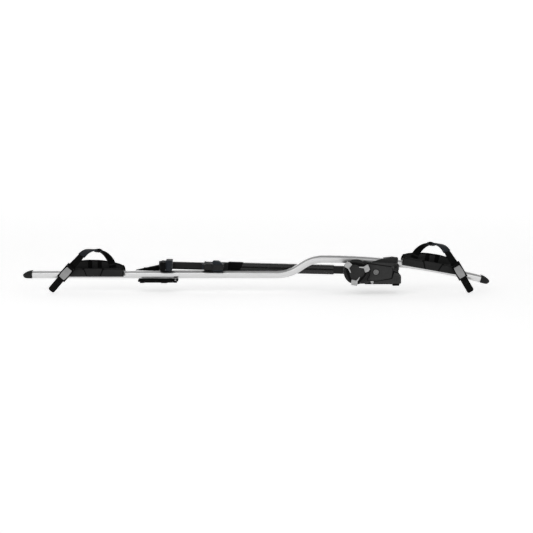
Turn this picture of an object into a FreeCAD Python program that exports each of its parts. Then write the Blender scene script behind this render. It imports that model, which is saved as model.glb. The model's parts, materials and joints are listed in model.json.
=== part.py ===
"""Upright roof-mounted bicycle carrier: rail, two wheel trays, base with torque knob, folding frame arm.

Frame: +X along the rail towards the front bar mount, +Y away from the near side, +Z up.
Origin: rail centre plane (Y = 0), top plane of the roof bars (Z = 0), X = 0 under the base housing.
"""
import FreeCAD, Part

import math
import os
import re

import Sketcher

Vector = FreeCAD.Vector
Rotation = FreeCAD.Rotation
X_AXIS = Vector(1, 0, 0)
Y_AXIS = Vector(0, 1, 0)
Z_AXIS = Vector(0, 0, 1)

DIMENSIONS = {
    # rail section and side view
    "rail_half": 20,
    "rail_foot_half": 17,
    "rail_rise": 11,
    "rail_round": 8,
    "slot_half": 4.25,
    "rear_end_x": -1055,
    "rear_z": 23,
    "bend_start_x": -287,
    "bend_radius": 112,
    "bend_angle": 34,
    "bend_straight": 19,
    "front_radius": 1961,
    "front_end_x": 346,
    # base and knob
    "pivot_x": -48,
    "pivot_z": 40.6,
    "near_face": -88,
    "housing_round": 37.8,
    "housing_wall": 3,
    "tube_round": 17,
    "bush_round": 12,
    "shaft_round": 4,
    "knob_round": 38.6,
    "knob_reach": 42,
    "lock_x": 13.2,
    "lock_z": 39.1,
    "bolt_x": 76,
    "bolt_near_y": -55,
    "bolt_far_y": 5,
    "bolt_round": 3,
    # folding arm, local frame: -X along the arm from the pivot
    "arm_y": 42,
    "arm_tilt": 1.53,
    "tube_drop": -8.6,
    "screw_drop": -12,
    "outer_half": 14.5,
    "inner_half": 11.3,
    "slide_gap": 0.35,
    "jaw_near": -87,
    # rear bar bracket
    "rear_bolt_x": -642,
    # wheel trays, local frame: centre of the rail at the tray's middle
    "tray_head": 103,
    "tray_tail": 84,
    "rear_tray_x": -870,
    "front_tray_x": 199.5,
    "tray_floor": 11.5,
    "near_wall_top": 21.7,
    "far_wall_top": 42.4,
    "tray_foot": -4.4,
    # straps
    "strap_width": 22,
    "strap_thick": 2,
}

doc = FreeCAD.newDocument("bike_carrier")
sheet = doc.addObject("Spreadsheet::Sheet", "Dims")
for row, (alias, size) in enumerate(DIMENSIONS.items(), start=1):
    sheet.set(f"A{row}", alias)
    sheet.set(f"B{row}", str(size))
    sheet.setAlias(f"B{row}", alias)
doc.recompute()

nodes = []


# ---------------------------------------------------------------- helpers

def full(expression):
    """Names in an expression become references to the sheet."""
    return re.sub(r"[a-z][a-z_]+", lambda found: "Dims." + found.group(0), str(expression))


def size_of(expression):
    """The number that an expression of sheet names stands for."""
    return float(sheet.evalExpression(str(expression)))


def keep(feature, name):
    """Marks a feature as a sub-part with its own node name."""
    feature.Label = name
    if feature.Label != name:
        raise RuntimeError(f"{name} is used twice")
    nodes.append(feature)
    return feature


def box(name, x, y, z):
    """Part::Box between two limits on each axis."""
    solid = doc.addObject("Part::Box", name)
    for side, axis, (low, high) in (("Length", "x", x), ("Width", "y", y), ("Height", "z", z)):
        solid.setExpression(side, full(f"({high}) - ({low})"))
        solid.setExpression(f"Placement.Base.{axis}", full(low))
    return solid


TURNS = {"x": Rotation(Y_AXIS, 90), "y": Rotation(X_AXIS, -90), "z": Rotation()}


def rod(name, axis, radius, centre, low, high):
    """Part::Cylinder along an axis; centre gives the other two coordinates in order."""
    solid = doc.addObject("Part::Cylinder", name)
    solid.setExpression("Radius", full(radius))
    solid.setExpression("Height", full(f"({high}) - ({low})"))
    solid.Placement = FreeCAD.Placement(Vector(), TURNS[axis])
    others = [other for other in "xyz" if other != axis]
    for other, place in zip(others, centre):
        solid.setExpression(f"Placement.Base.{other}", full(place))
    solid.setExpression(f"Placement.Base.{axis}", full(low))
    return solid


def fuse(name, *parts):
    joined = doc.addObject("Part::MultiFuse", name)
    joined.Shapes = list(parts)
    joined.Refine = True
    return joined


def cut(name, base, *tools):
    result = doc.addObject("Part::Cut", name)
    result.Base = base
    result.Tool = tools[0] if len(tools) == 1 else fuse(name + "_tools", *tools)
    return result


PLANES = {"XY": "XY_Plane", "XZ": "XZ_Plane", "YZ": "YZ_Plane"}


def outline(body, name, plane, points):
    """A closed sketch of straight lines whose corners are bound to the sheet."""
    sketch = body.newObject("Sketcher::SketchObject", name)
    support = [item for item in body.Origin.OriginFeatures if item.Role == PLANES[plane]][0]
    sketch.AttachmentSupport = [(support, "")]
    sketch.MapMode = "FlatFace"
    places = [Vector(size_of(u), size_of(v), 0) for u, v in points]
    for index, place in enumerate(places):
        sketch.addGeometry(Part.LineSegment(place, places[(index + 1) % len(places)]))
    for index in range(len(places)):
        sketch.addConstraint(Sketcher.Constraint("Coincident", index, 2, (index + 1) % len(places), 1))
    for index, (u, v) in enumerate(points):
        for kind, value in (("DistanceX", u), ("DistanceY", v)):
            constraint = Sketcher.Constraint(kind, -1, 1, index, 1, size_of(value))
            number = sketch.addConstraint(constraint)
            if isinstance(value, str):
                sketch.setExpression(f"Constraints[{number}]", full(value))
    return sketch


def plate(name, plane, points, low, high):
    """PartDesign body: an outline padded between two limits along the plane's normal."""
    body = doc.addObject("PartDesign::Body", name)
    pad = body.newObject("PartDesign::Pad", name + "_pad")
    pad.Profile = outline(body, name + "_outline", plane, points)
    pad.setExpression("Length", full(f"({high}) - ({low})"))
    body.Tip = pad
    axis = {"XY": "z", "XZ": "y", "YZ": "x"}[plane]
    # the XZ plane's normal is -Y, so that pad starts from its higher limit
    start = high if plane == "XZ" else low
    body.setExpression(f"Placement.Base.{axis}", full(start))
    return body


def turned(name, profile, y_place):
    """PartDesign body: an (axial, radial) profile revolved about the Y direction through the pivot."""
    body = doc.addObject("PartDesign::Body", name)
    sketch = outline(body, name + "_outline", "XY", [(radial, axial) for axial, radial in profile])
    turn = body.newObject("PartDesign::Revolution", name + "_turn")
    turn.Profile = sketch
    turn.ReferenceAxis = (sketch, ["V_Axis"])
    turn.Angle = 360
    body.Tip = turn
    body.setExpression("Placement.Base.x", full("pivot_x"))
    body.setExpression("Placement.Base.y", full(y_place))
    body.setExpression("Placement.Base.z", full("pivot_z"))
    return body


def shaped(name, shape, placement=None):
    """Part::Feature for a shape that neither sketches nor primitives describe."""
    feature = doc.addObject("Part::Feature", name)
    feature.Shape = shape
    if placement:
        feature.Placement = placement
    return feature


def grouped(name, feature, place):
    """Holds a locally placed feature so that it moves as a whole."""
    feature.Label = feature.Name + "_local"
    moved = doc.addObject("Part::Compound", name)
    moved.Links = [feature]
    moved.Placement = place
    return moved


def on_arm(feature):
    """Places a feature of the arm's local frame on the pivot, tilted to its folded position."""
    folded = FreeCAD.Placement(Vector(), Rotation(Y_AXIS, size_of("arm_tilt")))
    moved = grouped(feature.Name + "_folded", feature, folded)
    moved.setExpression("Placement.Base.x", full("pivot_x"))
    moved.setExpression("Placement.Base.y", full("arm_y"))
    moved.setExpression("Placement.Base.z", full("pivot_z"))
    moved.setExpression("Placement.Rotation.Angle", full("arm_tilt"))
    return moved


# ---------------------------------------------------------------- rail

def rounded_wire(points, rounds):
    """A closed wire in the YZ plane; rounds maps a corner's number to its radius."""
    corners = [Vector(0, y, w) for y, w in points]
    edges = []
    starts, ends = [], []
    for index, corner in enumerate(corners):
        radius = rounds.get(index, 0)
        before = (corners[index - 1] - corner).normalize()
        after = (corners[(index + 1) % len(corners)] - corner).normalize()
        if radius == 0:
            starts.append(corner)
            ends.append(corner)
            continue
        half = before.getAngle(after) / 2
        reach = radius / math.tan(half)
        inward = (before + after).normalize()
        middle = corner + inward * (radius / math.sin(half) - radius)
        starts.append(corner + before * reach)
        ends.append(corner + after * reach)
        edges.append(Part.Arc(starts[-1], middle, ends[-1]).toShape())
    for index in range(len(corners)):
        edges.append(Part.makeLine(ends[index], starts[(index + 1) % len(corners)]))
    return Part.Wire(Part.__sortEdges__(edges))


def rail_track():
    """The rail's centre line in side view, as (kind, start point, heading, length or centre and turn)."""
    bend = size_of("bend_angle")
    radius = size_of("bend_radius")
    straight = size_of("bend_straight")
    lean = math.radians(bend)
    rear = Vector(size_of("rear_end_x"), 0, size_of("rear_z"))
    foot = Vector(size_of("bend_start_x"), 0, rear.z)
    rise = Vector(math.sin(lean), 0, 1 - math.cos(lean)) * radius
    ramp = foot + rise
    top = ramp + Vector(math.cos(lean), 0, math.sin(lean)) * straight
    crest = top + rise
    front_radius = size_of("front_radius")
    fall = math.degrees(math.asin((size_of("front_end_x") - crest.x) / front_radius))
    up_centre = foot + Z_AXIS * radius
    down_centre = crest - Z_AXIS * radius
    front_centre = crest - Z_AXIS * front_radius
    return {
        "straight": [(rear, 0, foot.x - rear.x), (ramp, bend, straight)],
        "arcs": [(foot, 0, up_centre, -bend), (top, bend, down_centre, bend), (crest, 0, front_centre, fall)],
        "crest": crest,
        "front_centre": front_centre,
    }


TRACK = rail_track()


def on_front_arc(x):
    """Placement on the rail's centre line where its front stretch has the given X."""
    centre = TRACK["front_centre"]
    radius = size_of("front_radius")
    pitch = math.degrees(math.asin((x - centre.x) / radius))
    height = centre.z + radius * math.cos(math.radians(pitch))
    return FreeCAD.Placement(Vector(x, 0, height), Rotation(Y_AXIS, pitch))


def along_front_arc(face, x_from, x_to):
    """Sweeps a face, drawn about the rail's centre, along the front stretch."""
    start = on_front_arc(x_from)
    end = on_front_arc(x_to)
    placed = face.copy()
    placed.Placement = start
    turn = math.degrees(end.Rotation.Angle * end.Rotation.Axis.y - start.Rotation.Angle * start.Rotation.Axis.y)
    return placed.revolve(TRACK["front_centre"], Y_AXIS, turn)


def rail_face():
    """Rail section: rounded shoulders, leaning flanks, T-slot underneath, hollow above."""
    half, foot, rise = size_of("rail_half"), size_of("rail_foot_half"), size_of("rail_rise")
    slot, channel = size_of("slot_half"), 8.6
    lip, roof = 2.3, 7.6
    outer = [(-foot, -rise), (-half, -3), (-half, rise), (half, rise), (half, -3), (foot, -rise),
             (slot, -rise), (slot, lip - rise), (channel, lip - rise), (channel, roof - rise),
             (-channel, roof - rise), (-channel, lip - rise), (-slot, lip - rise), (-slot, -rise)]
    inner = [(2.2 - half, -1.4), (2.2 - half, rise - 2.2), (half - 2.2, rise - 2.2), (half - 2.2, -1.4)]
    shoulder = size_of("rail_round")
    outer_wire = rounded_wire(outer, {2: shoulder, 3: shoulder, 1: 2, 4: 2})
    inner_wire = rounded_wire(inner, {1: shoulder - 2.2, 2: shoulder - 2.2})
    return Part.Face(outer_wire).cut(Part.Face(inner_wire)).Faces[0]


def make_rail():
    face = rail_face()
    pieces = []
    for start, heading, length in TRACK["straight"]:
        placed = face.copy()
        placed.Placement = FreeCAD.Placement(start, Rotation(Y_AXIS, -heading))
        lean = math.radians(heading)
        pieces.append(placed.extrude(Vector(math.cos(lean), 0, math.sin(lean)) * length))
    for start, heading, centre, turn in TRACK["arcs"]:
        placed = face.copy()
        placed.Placement = FreeCAD.Placement(start, Rotation(Y_AXIS, -heading))
        pieces.append(placed.revolve(centre, Y_AXIS, turn))
    rail = pieces[0].multiFuse(pieces[1:]).removeSplitter()
    keep(shaped("rail", rail.Solids[0]), "rail")


def end_cap(name, placement):
    """Boat-bow plastic cap: its tip points along local +X, and a plug fills the rail's hollow."""
    side = plate(name + "_side", "XZ", [
        (0, -11.6), (0, "rail_rise + 0.8"), (10, "rail_rise - 1.2"), (25.5, 0.5), (25.5, -1), (18, -9), (12, -11.6),
    ], "-rail_half - 0.8", "rail_half + 0.8")
    top = plate(name + "_top", "XY", [
        (0, "-rail_half - 0.8"), (14, -18), (26, -10), (26, 10), (14, 18), (0, "rail_half + 0.8"),
    ], -15, 15)
    bow = doc.addObject("Part::MultiCommon", name + "_bow")
    bow.Shapes = [side, top]
    plug = box(name + "_plug", (-14, 0.5), ("3.6 - rail_half", "rail_half - 3.6"), (-1, 6.5))
    cap = keep(fuse(name, bow, plug), name)
    cap.Placement = placement


def make_end_caps():
    front = on_front_arc(size_of("front_end_x"))
    rear = FreeCAD.Placement(Vector(size_of("rear_end_x"), 0, size_of("rear_z")), Rotation(Z_AXIS, 180))
    end_cap("rail_end_cap_rear", rear)
    end_cap("rail_end_cap_front", front)


# ---------------------------------------------------------------- base

def make_chassis():
    """Structural base: floor, pivot tube, ribs, far wall and the cradle that carries the rail."""
    cradle_face = Part.Face(rounded_wire([(-24, -26), (-24, -11.3), (22.5, -11.3), (22.5, -26)], {}))
    parts = [
        box("chassis_floor", (-47, 84.5), (-84, 27), (3, 8)),
        rod("chassis_tube", "y", "tube_round", ("pivot_x", "pivot_z"), -84, 27),
        box("chassis_near_rib", (-60, -5), (-70, -64), (7, 48)),
        box("chassis_cross_rib", (-36, -28), (-70, 23), (7, 42)),
        box("chassis_far_wall", (-62, 84.5), (22, 27), (3, 50)),
        shaped("chassis_cradle", along_front_arc(cradle_face, -36, 84.5)),
    ]
    holes = [rod("chassis_bore", "y", "bush_round", ("pivot_x", "pivot_z"), -90, 40)]
    for side in ("near", "far"):
        centre = ("bolt_x", f"bolt_{side}_y")
        holes.append(rod(f"chassis_hole_{side}", "z", "bolt_round + 0.3", centre, 0, 10))
    for index, x in enumerate(RAIL_BOLTS):
        holes.append(rod(f"chassis_rail_hole_{index}", "z", "bolt_round + 0.2", (x, 0), 25, 60))
        holes.append(rod(f"chassis_rail_head_{index}", "z", 6.2, (x, 0), 25, 39.5))
    keep(cut("base_chassis", fuse("chassis_solid", *parts), *holes), "base_chassis")


RAIL_BOLTS = (8, 48)


def make_rail_bolts():
    """Bolts through the cradle into sliding nuts in the rail's T-slot."""
    bolts = []
    for index, x in enumerate(RAIL_BOLTS):
        place = on_front_arc(x)
        nut = doc.addObject("Part::Box", f"rail_nut_{index}")
        nut.Length, nut.Width, nut.Height = 12, 16.4, 4
        nut.Placement = place.multiply(FreeCAD.Placement(Vector(-6, -8.2, -8.2), Rotation()))
        nut_top = place.Base.z - 5.5
        shank = rod(f"rail_shank_{index}", "z", "bolt_round", (x, 0), 36, nut_top)
        head = rod(f"rail_head_{index}", "z", 5.5, (x, 0), 34.8, 39.2)
        bolts.append(fuse(f"rail_bolt_{index}", nut, shank, head))
    keep(fuse("rail_bolts", *bolts), "rail_bolts")


HOUSING = [
    ("pivot_x", 3), ("pivot_x", "pivot_z + housing_round"), (3, 69.1), (60, 66.5), (83.6, 64.5),
    (83.8, 46), (80.5, 41), (90.6, 27), (90.6, 3),
]
HOLLOW = [
    ("pivot_x", -6), ("pivot_x", "pivot_z + housing_round - housing_wall"), (3, 66), (60, 63.4), (80.6, 61.6),
    (80.8, 46.8), (77, 41.4), (87.6, 26), (87.6, -6),
]


def make_base_cover():
    """Near-side housing shell, open below and towards the rail."""
    back = -26.5
    outer = fuse(
        "cover_outer",
        plate("cover_plate", "XZ", HOUSING, "near_face", back),
        rod("cover_round", "y", "housing_round", ("pivot_x", "pivot_z"), "near_face", back),
    )
    lugs = [
        box("cover_lug_left", (-24, -19.2), (-92, -86), (63, 70)),
        box("cover_lug_right", (64, 68.5), (-92, -86), (50.5, 57.5)),
    ]
    hollow = fuse(
        "cover_hollow",
        plate("cover_hollow_plate", "XZ", HOLLOW, "near_face + housing_wall", back + 5),
        rod("cover_hollow_round", "y", "housing_round - housing_wall", ("pivot_x", "pivot_z"),
            "near_face + housing_wall", back + 5),
        rod("cover_knob_hole", "y", 14, ("pivot_x", "pivot_z"), -95, -80),
        box("cover_door_opening", (-2, 58), (-93, -80), (16, 55)),
        hinge_rod("cover_pin_hole", 1.0, -24, 68.5),
    )
    keep(cut("base_cover", fuse("cover_shell", outer, *lugs), hollow), "base_cover")


DOOR_LEFT = Vector(-17.2, -90.2, 65.2)
DOOR_RIGHT = Vector(60.9, -90.2, 54.2)
DOOR_AXIS = (DOOR_RIGHT - DOOR_LEFT).normalize()


def hinge_rod(name, radius, x_from, x_to):
    """A cylinder on the door's hinge axis, between two X positions."""
    slope = DOOR_AXIS.z / DOOR_AXIS.x
    start = Vector(x_from, DOOR_LEFT.y, DOOR_LEFT.z + (x_from - DOOR_LEFT.x) * slope)
    solid = doc.addObject("Part::Cylinder", name)
    solid.Radius = radius
    solid.Height = (x_to - x_from) / DOOR_AXIS.x
    solid.Placement = FreeCAD.Placement(start, Rotation(Z_AXIS, DOOR_AXIS))
    return solid


def make_door():
    """Lockable door over the bar-mount fasteners, hinged along its top edge."""
    panel = plate("door_panel", "XZ", [
        (-11.4, 64.4), (60.9, 54.2), (64.2, 48.5), (61.2, 20.7), (16.3, 12.4), (-13, 14.2),
        (-5.6, 27), (-3.2, "pivot_z"), (-5.4, 54),
    ], -92, -88.4)
    barrel = rod("door_barrel", "y", 8, ("lock_x", "lock_z"), -89, -72)
    knuckle = hinge_rod("door_knuckle", 1.8, -16.5, 61.5)
    bore = rod("door_lock_bore", "y", 5.05, ("lock_x", "lock_z"), -93, -71)
    pin_bore = hinge_rod("door_pin_bore", 1.05, -20, 68)
    keep(cut("cover_door", fuse("door_solid", panel, barrel, knuckle), bore, pin_bore), "cover_door")
    keep(hinge_rod("cover_hinge_pin", 1.0, -23, 68), "cover_hinge_pin")
    tab = plate("cover_tab", "XZ", [(-4.6, 13), (6, 12.9), (4.6, 5.4), (2.6, 2.4), (0.2, 2.4), (-2.6, 6)],
                -94.2, -92)
    keep(tab, "cover_tab")


def make_lock():
    """Key cylinder and its cam, turning in the door."""
    plug = rod("lock_body", "y", 5, ("lock_x", "lock_z"), -93.4, -71.8)
    keyway = box("lock_keyway", ("lock_x - 0.6", "lock_x + 0.6"), (-94, -86), ("lock_z - 2.6", "lock_z + 2.6"))
    keep(cut("lock_plug", plug, keyway), "lock_plug")
    eye = rod("lock_cam_eye", "y", 5, ("lock_x", "lock_z"), -71.8, -69.8)
    tongue = box("lock_cam_tongue", ("lock_x - 14", "lock_x"), (-71.8, -69.8), ("lock_z - 3.5", "lock_z + 3.5"))
    keep(fuse("lock_cam", eye, tongue), "lock_cam")


def make_saddle():
    """Cover that wraps over the rail and ties the housing's two sides together."""
    section = [(-26.2, -5), (-26.2, 8), (-19, 15.8), (16, 15.8), (26.2, 6), (26.2, -5),
               (20.5, -5), (20.5, 11.5), (-20.5, 11.5), (-20.5, -5)]
    face = Part.Face(rounded_wire(section, {1: 3, 2: 5, 3: 6, 4: 4, 7: 6.3, 8: 6.3}))
    body = shaped("saddle_body", along_front_arc(face, 4, 84))
    scoop = plate("saddle_scoop", "XZ", [(-2, 90), (-2, 72), (6, 72), (30, 79.6), (30, 90)], -40, 40)
    keep(cut("saddle_cover", body, scoop), "saddle_cover")


def make_pivot_parts():
    """Bearing bushes of the arm's journal and of the drive shaft."""
    near = [(0, "shaft_round + 0.05"), (0, "bush_round"), (20, "bush_round"), (20, "shaft_round + 0.05")]
    wide = [(0, 10.05), (0, "bush_round"), (18, "bush_round"), (18, 10.05)]
    keep(turned("shaft_bush", near, -83), "shaft_bush")
    keep(fuse("arm_bushes", turned("arm_bush_near", wide, -40), turned("arm_bush_far", wide, 9)), "arm_bushes")


def make_bar_mount():
    """T-bolts for a 20 mm bar track, their star nuts and the rubber bar pads."""
    bolts = []
    for side in ("near", "far"):
        place = f"bolt_{side}_y"
        head = box(f"front_bolt_head_{side}", ("bolt_x - 9.6", "bolt_x + 9.6"),
                   (f"{place} - 6.5", f"{place} + 6.5"), (-6, -2.4))
        shank = rod(f"front_bolt_shank_{side}", "z", "bolt_round", ("bolt_x", place), -2.5, 30)
        bolts.append(fuse(f"front_t_bolt_{side}", head, shank))
        star_nut(f"bar_knob_{side}", "bolt_x", place)
    keep(fuse("front_t_bolts", *bolts), "front_t_bolts")
    keep(box("base_bar_pad", (-20, 64), (-80, 24), (0, 3)), "base_bar_pad")


def star_nut(name, x, y):
    """Hand nut with five grip lobes, made as a hub and a polar pattern."""
    body = doc.addObject("PartDesign::Body", name)
    hub = body.newObject("Sketcher::SketchObject", name + "_hub_sketch")
    support = [item for item in body.Origin.OriginFeatures if item.Role == "XY_Plane"][0]
    hub.AttachmentSupport = [(support, "")]
    hub.MapMode = "FlatFace"
    hub.addGeometry(Part.Circle(Vector(), Z_AXIS, 8))
    hub.addGeometry(Part.Circle(Vector(), Z_AXIS, 3))
    hub.addConstraint(Sketcher.Constraint("Coincident", 0, 3, -1, 1))
    hub.addConstraint(Sketcher.Constraint("Coincident", 1, 3, -1, 1))
    hub.addConstraint(Sketcher.Constraint("Radius", 0, 7.4))
    bore = hub.addConstraint(Sketcher.Constraint("Radius", 1, 3.05))
    hub.setExpression(f"Constraints[{bore}]", full("bolt_round + 0.05"))
    hub_pad = body.newObject("PartDesign::Pad", name + "_hub")
    hub_pad.Profile = hub
    hub_pad.Length = 14
    doc.recompute()
    lobe = outline(body, name + "_lobe_sketch", "XY", [(5.4, -2.2), (10, -1.8), (10, 1.8), (5.4, 2.2)])
    lobe_pad = body.newObject("PartDesign::Pad", name + "_lobe")
    lobe_pad.Profile = lobe
    lobe_pad.Length = 10
    doc.recompute()
    pattern = body.newObject("PartDesign::PolarPattern", name + "_lobes")
    pattern.Originals = [lobe_pad]
    pattern.Axis = (hub, ["N_Axis"])
    pattern.Angle = 360
    pattern.Occurrences = 5
    body.Tip = pattern
    body.setExpression("Placement.Base.x", full(x))
    body.setExpression("Placement.Base.y", full(y))
    body.Placement.Base.z = 8.4
    keep(body, name)


# ---------------------------------------------------------------- knob and drive

def at_pivot(feature, y):
    feature.setExpression("Placement.Base.x", full("pivot_x"))
    feature.setExpression("Placement.Base.y", full(y))
    feature.setExpression("Placement.Base.z", full("pivot_z"))
    return feature


GRIP_ANGLES = (141, 21, -99)
HUB_CORNER = 124


def make_knob():
    """Torque-limiting hand knob with its slipping clutch, on the drive shaft."""
    dial = [(-106, 15), (-106, "knob_round - 2"), (-104, "knob_round"), (-94.8, "knob_round"),
            (-92.8, "knob_round - 2"), (-92.8, "shaft_round"), (-96, "shaft_round"), (-96, 15)]
    keep(turned("knob_dial", dial, 0), "knob_dial")
    keep(turned("clutch_plate", [(-98.4, "shaft_round"), (-98.4, 13), (-96, 13), (-96, "shaft_round")], 0),
         "clutch_plate")
    washers = []
    for index, back in enumerate((-100.8, -103.2, -105.6)):
        profile = [(back, "shaft_round + 1"), (back + 0.8, 12), (back + 2, 12), (back + 1.2, "shaft_round + 1")]
        washers.append(turned(f"spring_washer_{index}", profile, 0))
    keep(fuse("clutch_springs", *washers), "clutch_springs")
    hub_points = []
    for corner in range(3):
        middle = math.radians(HUB_CORNER + 120 * corner)
        for offset, radius in ((-34, 21.5), (-12, 25), (12, 25), (34, 21.5)):
            angle = middle + math.radians(offset)
            hub_points.append((round(radius * math.cos(angle), 2), round(radius * math.sin(angle), 2)))
    hub = plate("knob_hub", "XZ", hub_points, -118, -106)
    keep(at_pivot(hub, -106), "knob_hub")
    grips = []
    for index, angle in enumerate(GRIP_ANGLES):
        face = box(f"grip_face_{index}", (26.5, "knob_reach"), (-114, -106), (-9, 9))
        rim = box(f"grip_rim_{index}", ("knob_round + 0.2", "knob_reach"), (-110, -96), (-9, 9))
        grip = fuse(f"grip_{index}", face, rim)
        grip.Placement = FreeCAD.Placement(Vector(), Rotation(Y_AXIS, -angle))
        grips.append(at_pivot(grip, 0))
    keep(fuse("knob_grips", *grips), "knob_grips")
    keep(rod("drive_shaft", "y", "shaft_round", ("pivot_x", "pivot_z"), -105.8, 52), "drive_shaft")
    pinion = turned("drive_pinion", [(37, "shaft_round"), (37, 5.8), (47, 5.8), (47, "shaft_round")], 0)
    keep(pinion, "drive_pinion")


# ---------------------------------------------------------------- folding arm (local frame, pivot at 0)

def square_tube(name, half, wall, x_from, x_to):
    outer = box(name + "_outer", (x_from, x_to), (f"-({half})", half), (f"tube_drop - ({half})",
                f"tube_drop + {half}"))
    bore_half = f"{half} - {wall}"
    bore = box(name + "_bore", (f"{x_from} - 1", f"{x_to} + 1"), (f"-({bore_half})", bore_half),
               (f"tube_drop - ({bore_half})", f"tube_drop + {bore_half}"))
    return outer, bore


def make_arm_root():
    """Pivot casting: hub, journal that runs in the base's bushes, and the plug in the tube."""
    solid = fuse(
        "arm_root_solid",
        rod("arm_hub", "y", 24, (0, 0), -12.5, 15),
        rod("arm_journal", "y", 10, (0, 0), -82, -12),
        box("arm_neck", (-64, 0), (-12.5, 12.5), ("tube_drop - 11.5", "tube_drop + 11.5")),
        box("arm_plug", (-96, -60), (-11.4, 11.4), ("tube_drop - 11.4", "tube_drop + 11.4")),
    )
    bores = [
        rod("arm_shaft_bore", "y", "shaft_round + 0.6", (0, 0), -83, 11),
        rod("arm_pinion_pocket", "y", 6.6, (0, 0), -7, 11),
        rod("arm_screw_pocket", "x", 6.6, (0, "screw_drop"), -8, 8),
        rod("arm_screw_bore", "x", 4.6, (0, "screw_drop"), -97, -8),
        rod("arm_screw_bearing", "x", 3.05, (0, "screw_drop"), 7, 15),
    ]
    keep(on_arm(cut("arm_root", solid, *bores)), "arm_root")
    keep(on_arm(rod("arm_hub_cap", "y", 18, (0, 0), 15, 18)), "arm_hub_cap")


def make_outer_tube():
    """Fixed tube of two lobes, one above the other, with a shallow groove between them on each side."""
    outer, bore = square_tube("outer_tube", "outer_half", "(outer_half - inner_half - slide_gap)", -396, -64)
    grooves = [
        box(f"outer_groove_{side}", (-397, -63), (low, high), ("tube_drop - 2", "tube_drop + 2"))
        for side, low, high in (("near", "-outer_half - 1", "1 - outer_half"), ("far", "outer_half - 1",
                                "outer_half + 1"))
    ]
    keep(on_arm(cut("arm_tube_outer", outer, bore, *grooves)), "arm_tube_outer")
    collar, collar_bore = square_tube("collar", "outer_half + 1.2", 1.1, -395.5, -348)
    keep(on_arm(cut("arm_collar", collar, collar_bore)), "arm_collar")
    screw = rod("collar_screw_solid", "z", 2.5, (-388, 0), "tube_drop + outer_half + 1.2",
                "tube_drop + outer_half + 3")
    keep(on_arm(screw), "collar_screw")


def jaw_pad(name, x_from, x_to, low, high):
    keep(on_arm(box(name, (x_from, x_to), (-82, -17), (low, high))), name)


def make_lower_jaw():
    """Fixed jaw: a sleeve at the end of the outer tube with a claw that reaches over the rail."""
    sleeve, bore = square_tube("sleeve", "13.65", "(13.65 - inner_half - slide_gap)", -470, -396.5)
    claw = plate("lower_claw", "XY", [
        (-470, -12.6), (-470, "jaw_near + 4"), (-462, "jaw_near"), (-446, "jaw_near + 3"),
        (-412, -42), (-402, -12.6),
    ], -12, 5)
    ears = plate("lower_ears", "XY", [
        (-443, "jaw_near + 10"), (-443, -30), (-410, -30), (-410, -50),
    ], -16.3, 15.5)
    keep(on_arm(cut("lower_jaw", fuse("lower_jaw_solid", sleeve, claw, ears), bore)), "lower_jaw")
    jaw_pad("lower_jaw_pad", -475, -470.2, -11.5, 4.5)


def make_screw():
    """Drive screw with its gear; the jaw's nut climbs along it."""
    thread = rod("screw_thread", "x", "shaft_round", (0, "screw_drop"), -300, -10)
    journal = rod("screw_journal", "x", 3, (0, "screw_drop"), -11, 13)
    keep(on_arm(fuse("drive_screw", thread, journal)), "drive_screw")
    gear = rod("screw_gear_blank", "x", 5.8, (0, "screw_drop"), -6, 6)
    bore = rod("screw_gear_bore", "x", 3, (0, "screw_drop"), -7, 7)
    keep(on_arm(cut("screw_gear", gear, bore)), "screw_gear")


def make_upper_jaw():
    """Sliding jaw: inner tube, nut, head with its claw, and the slotted tail behind it."""
    outer, bore = square_tube("inner_tube", "inner_half", 2, -602, -232)
    keep(on_arm(cut("arm_tube_inner", outer, bore)), "arm_tube_inner")
    nut = box("nut_block", (-262, -232.5), (-9.2, 9.2), ("tube_drop - 9.2", "tube_drop + 9.2"))
    thread = rod("nut_thread", "x", "shaft_round + 0.08", (0, "screw_drop"), -263, -231)
    keep(on_arm(cut("drive_nut", nut, thread)), "drive_nut")
    head = box("jaw_head", (-611, -576), (-14, 14), ("tube_drop - 13.6", "tube_drop + 13.6"))
    claw = plate("upper_claw", "XY", [
        (-606, -13), (-606, "jaw_near + 8"), (-600, "jaw_near"), (-587.5, "jaw_near"), (-587.5, -13),
    ], -18.4, 7)
    web = plate("upper_claw_web", "XY", [(-611, -13), (-611, -30), (-600, -60), (-590, -60), (-590, -13)], -10, 6)
    socket = box("jaw_socket", (-602, -570), ("-inner_half", "inner_half"), ("tube_drop - inner_half",
                 "tube_drop + inner_half"))
    keep(on_arm(cut("upper_jaw", fuse("upper_jaw_solid", head, claw, web), socket)), "upper_jaw")
    jaw_pad("upper_jaw_pad", -587.5, -568, -18.4, 13.4)
    wedge = plate("tail_wedge", "XZ", [(-611, -8), (-611, -26), (-640, -28), (-683, -29), (-684, -26.5)], -13, 13)
    window = plate("tail_window", "XZ", [(-640, -17.7), (-640, -20), (-668, -26.6), (-668, -25)], -14, 14)
    keep(on_arm(cut("jaw_tail", wedge, window)), "jaw_tail")
    screw = rod("jaw_screw", "z", 2.6, (-600, -2), "tube_drop + 13.6", "tube_drop + 16")
    keep(on_arm(screw), "upper_jaw_screw")


# ---------------------------------------------------------------- rear bar bracket

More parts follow.
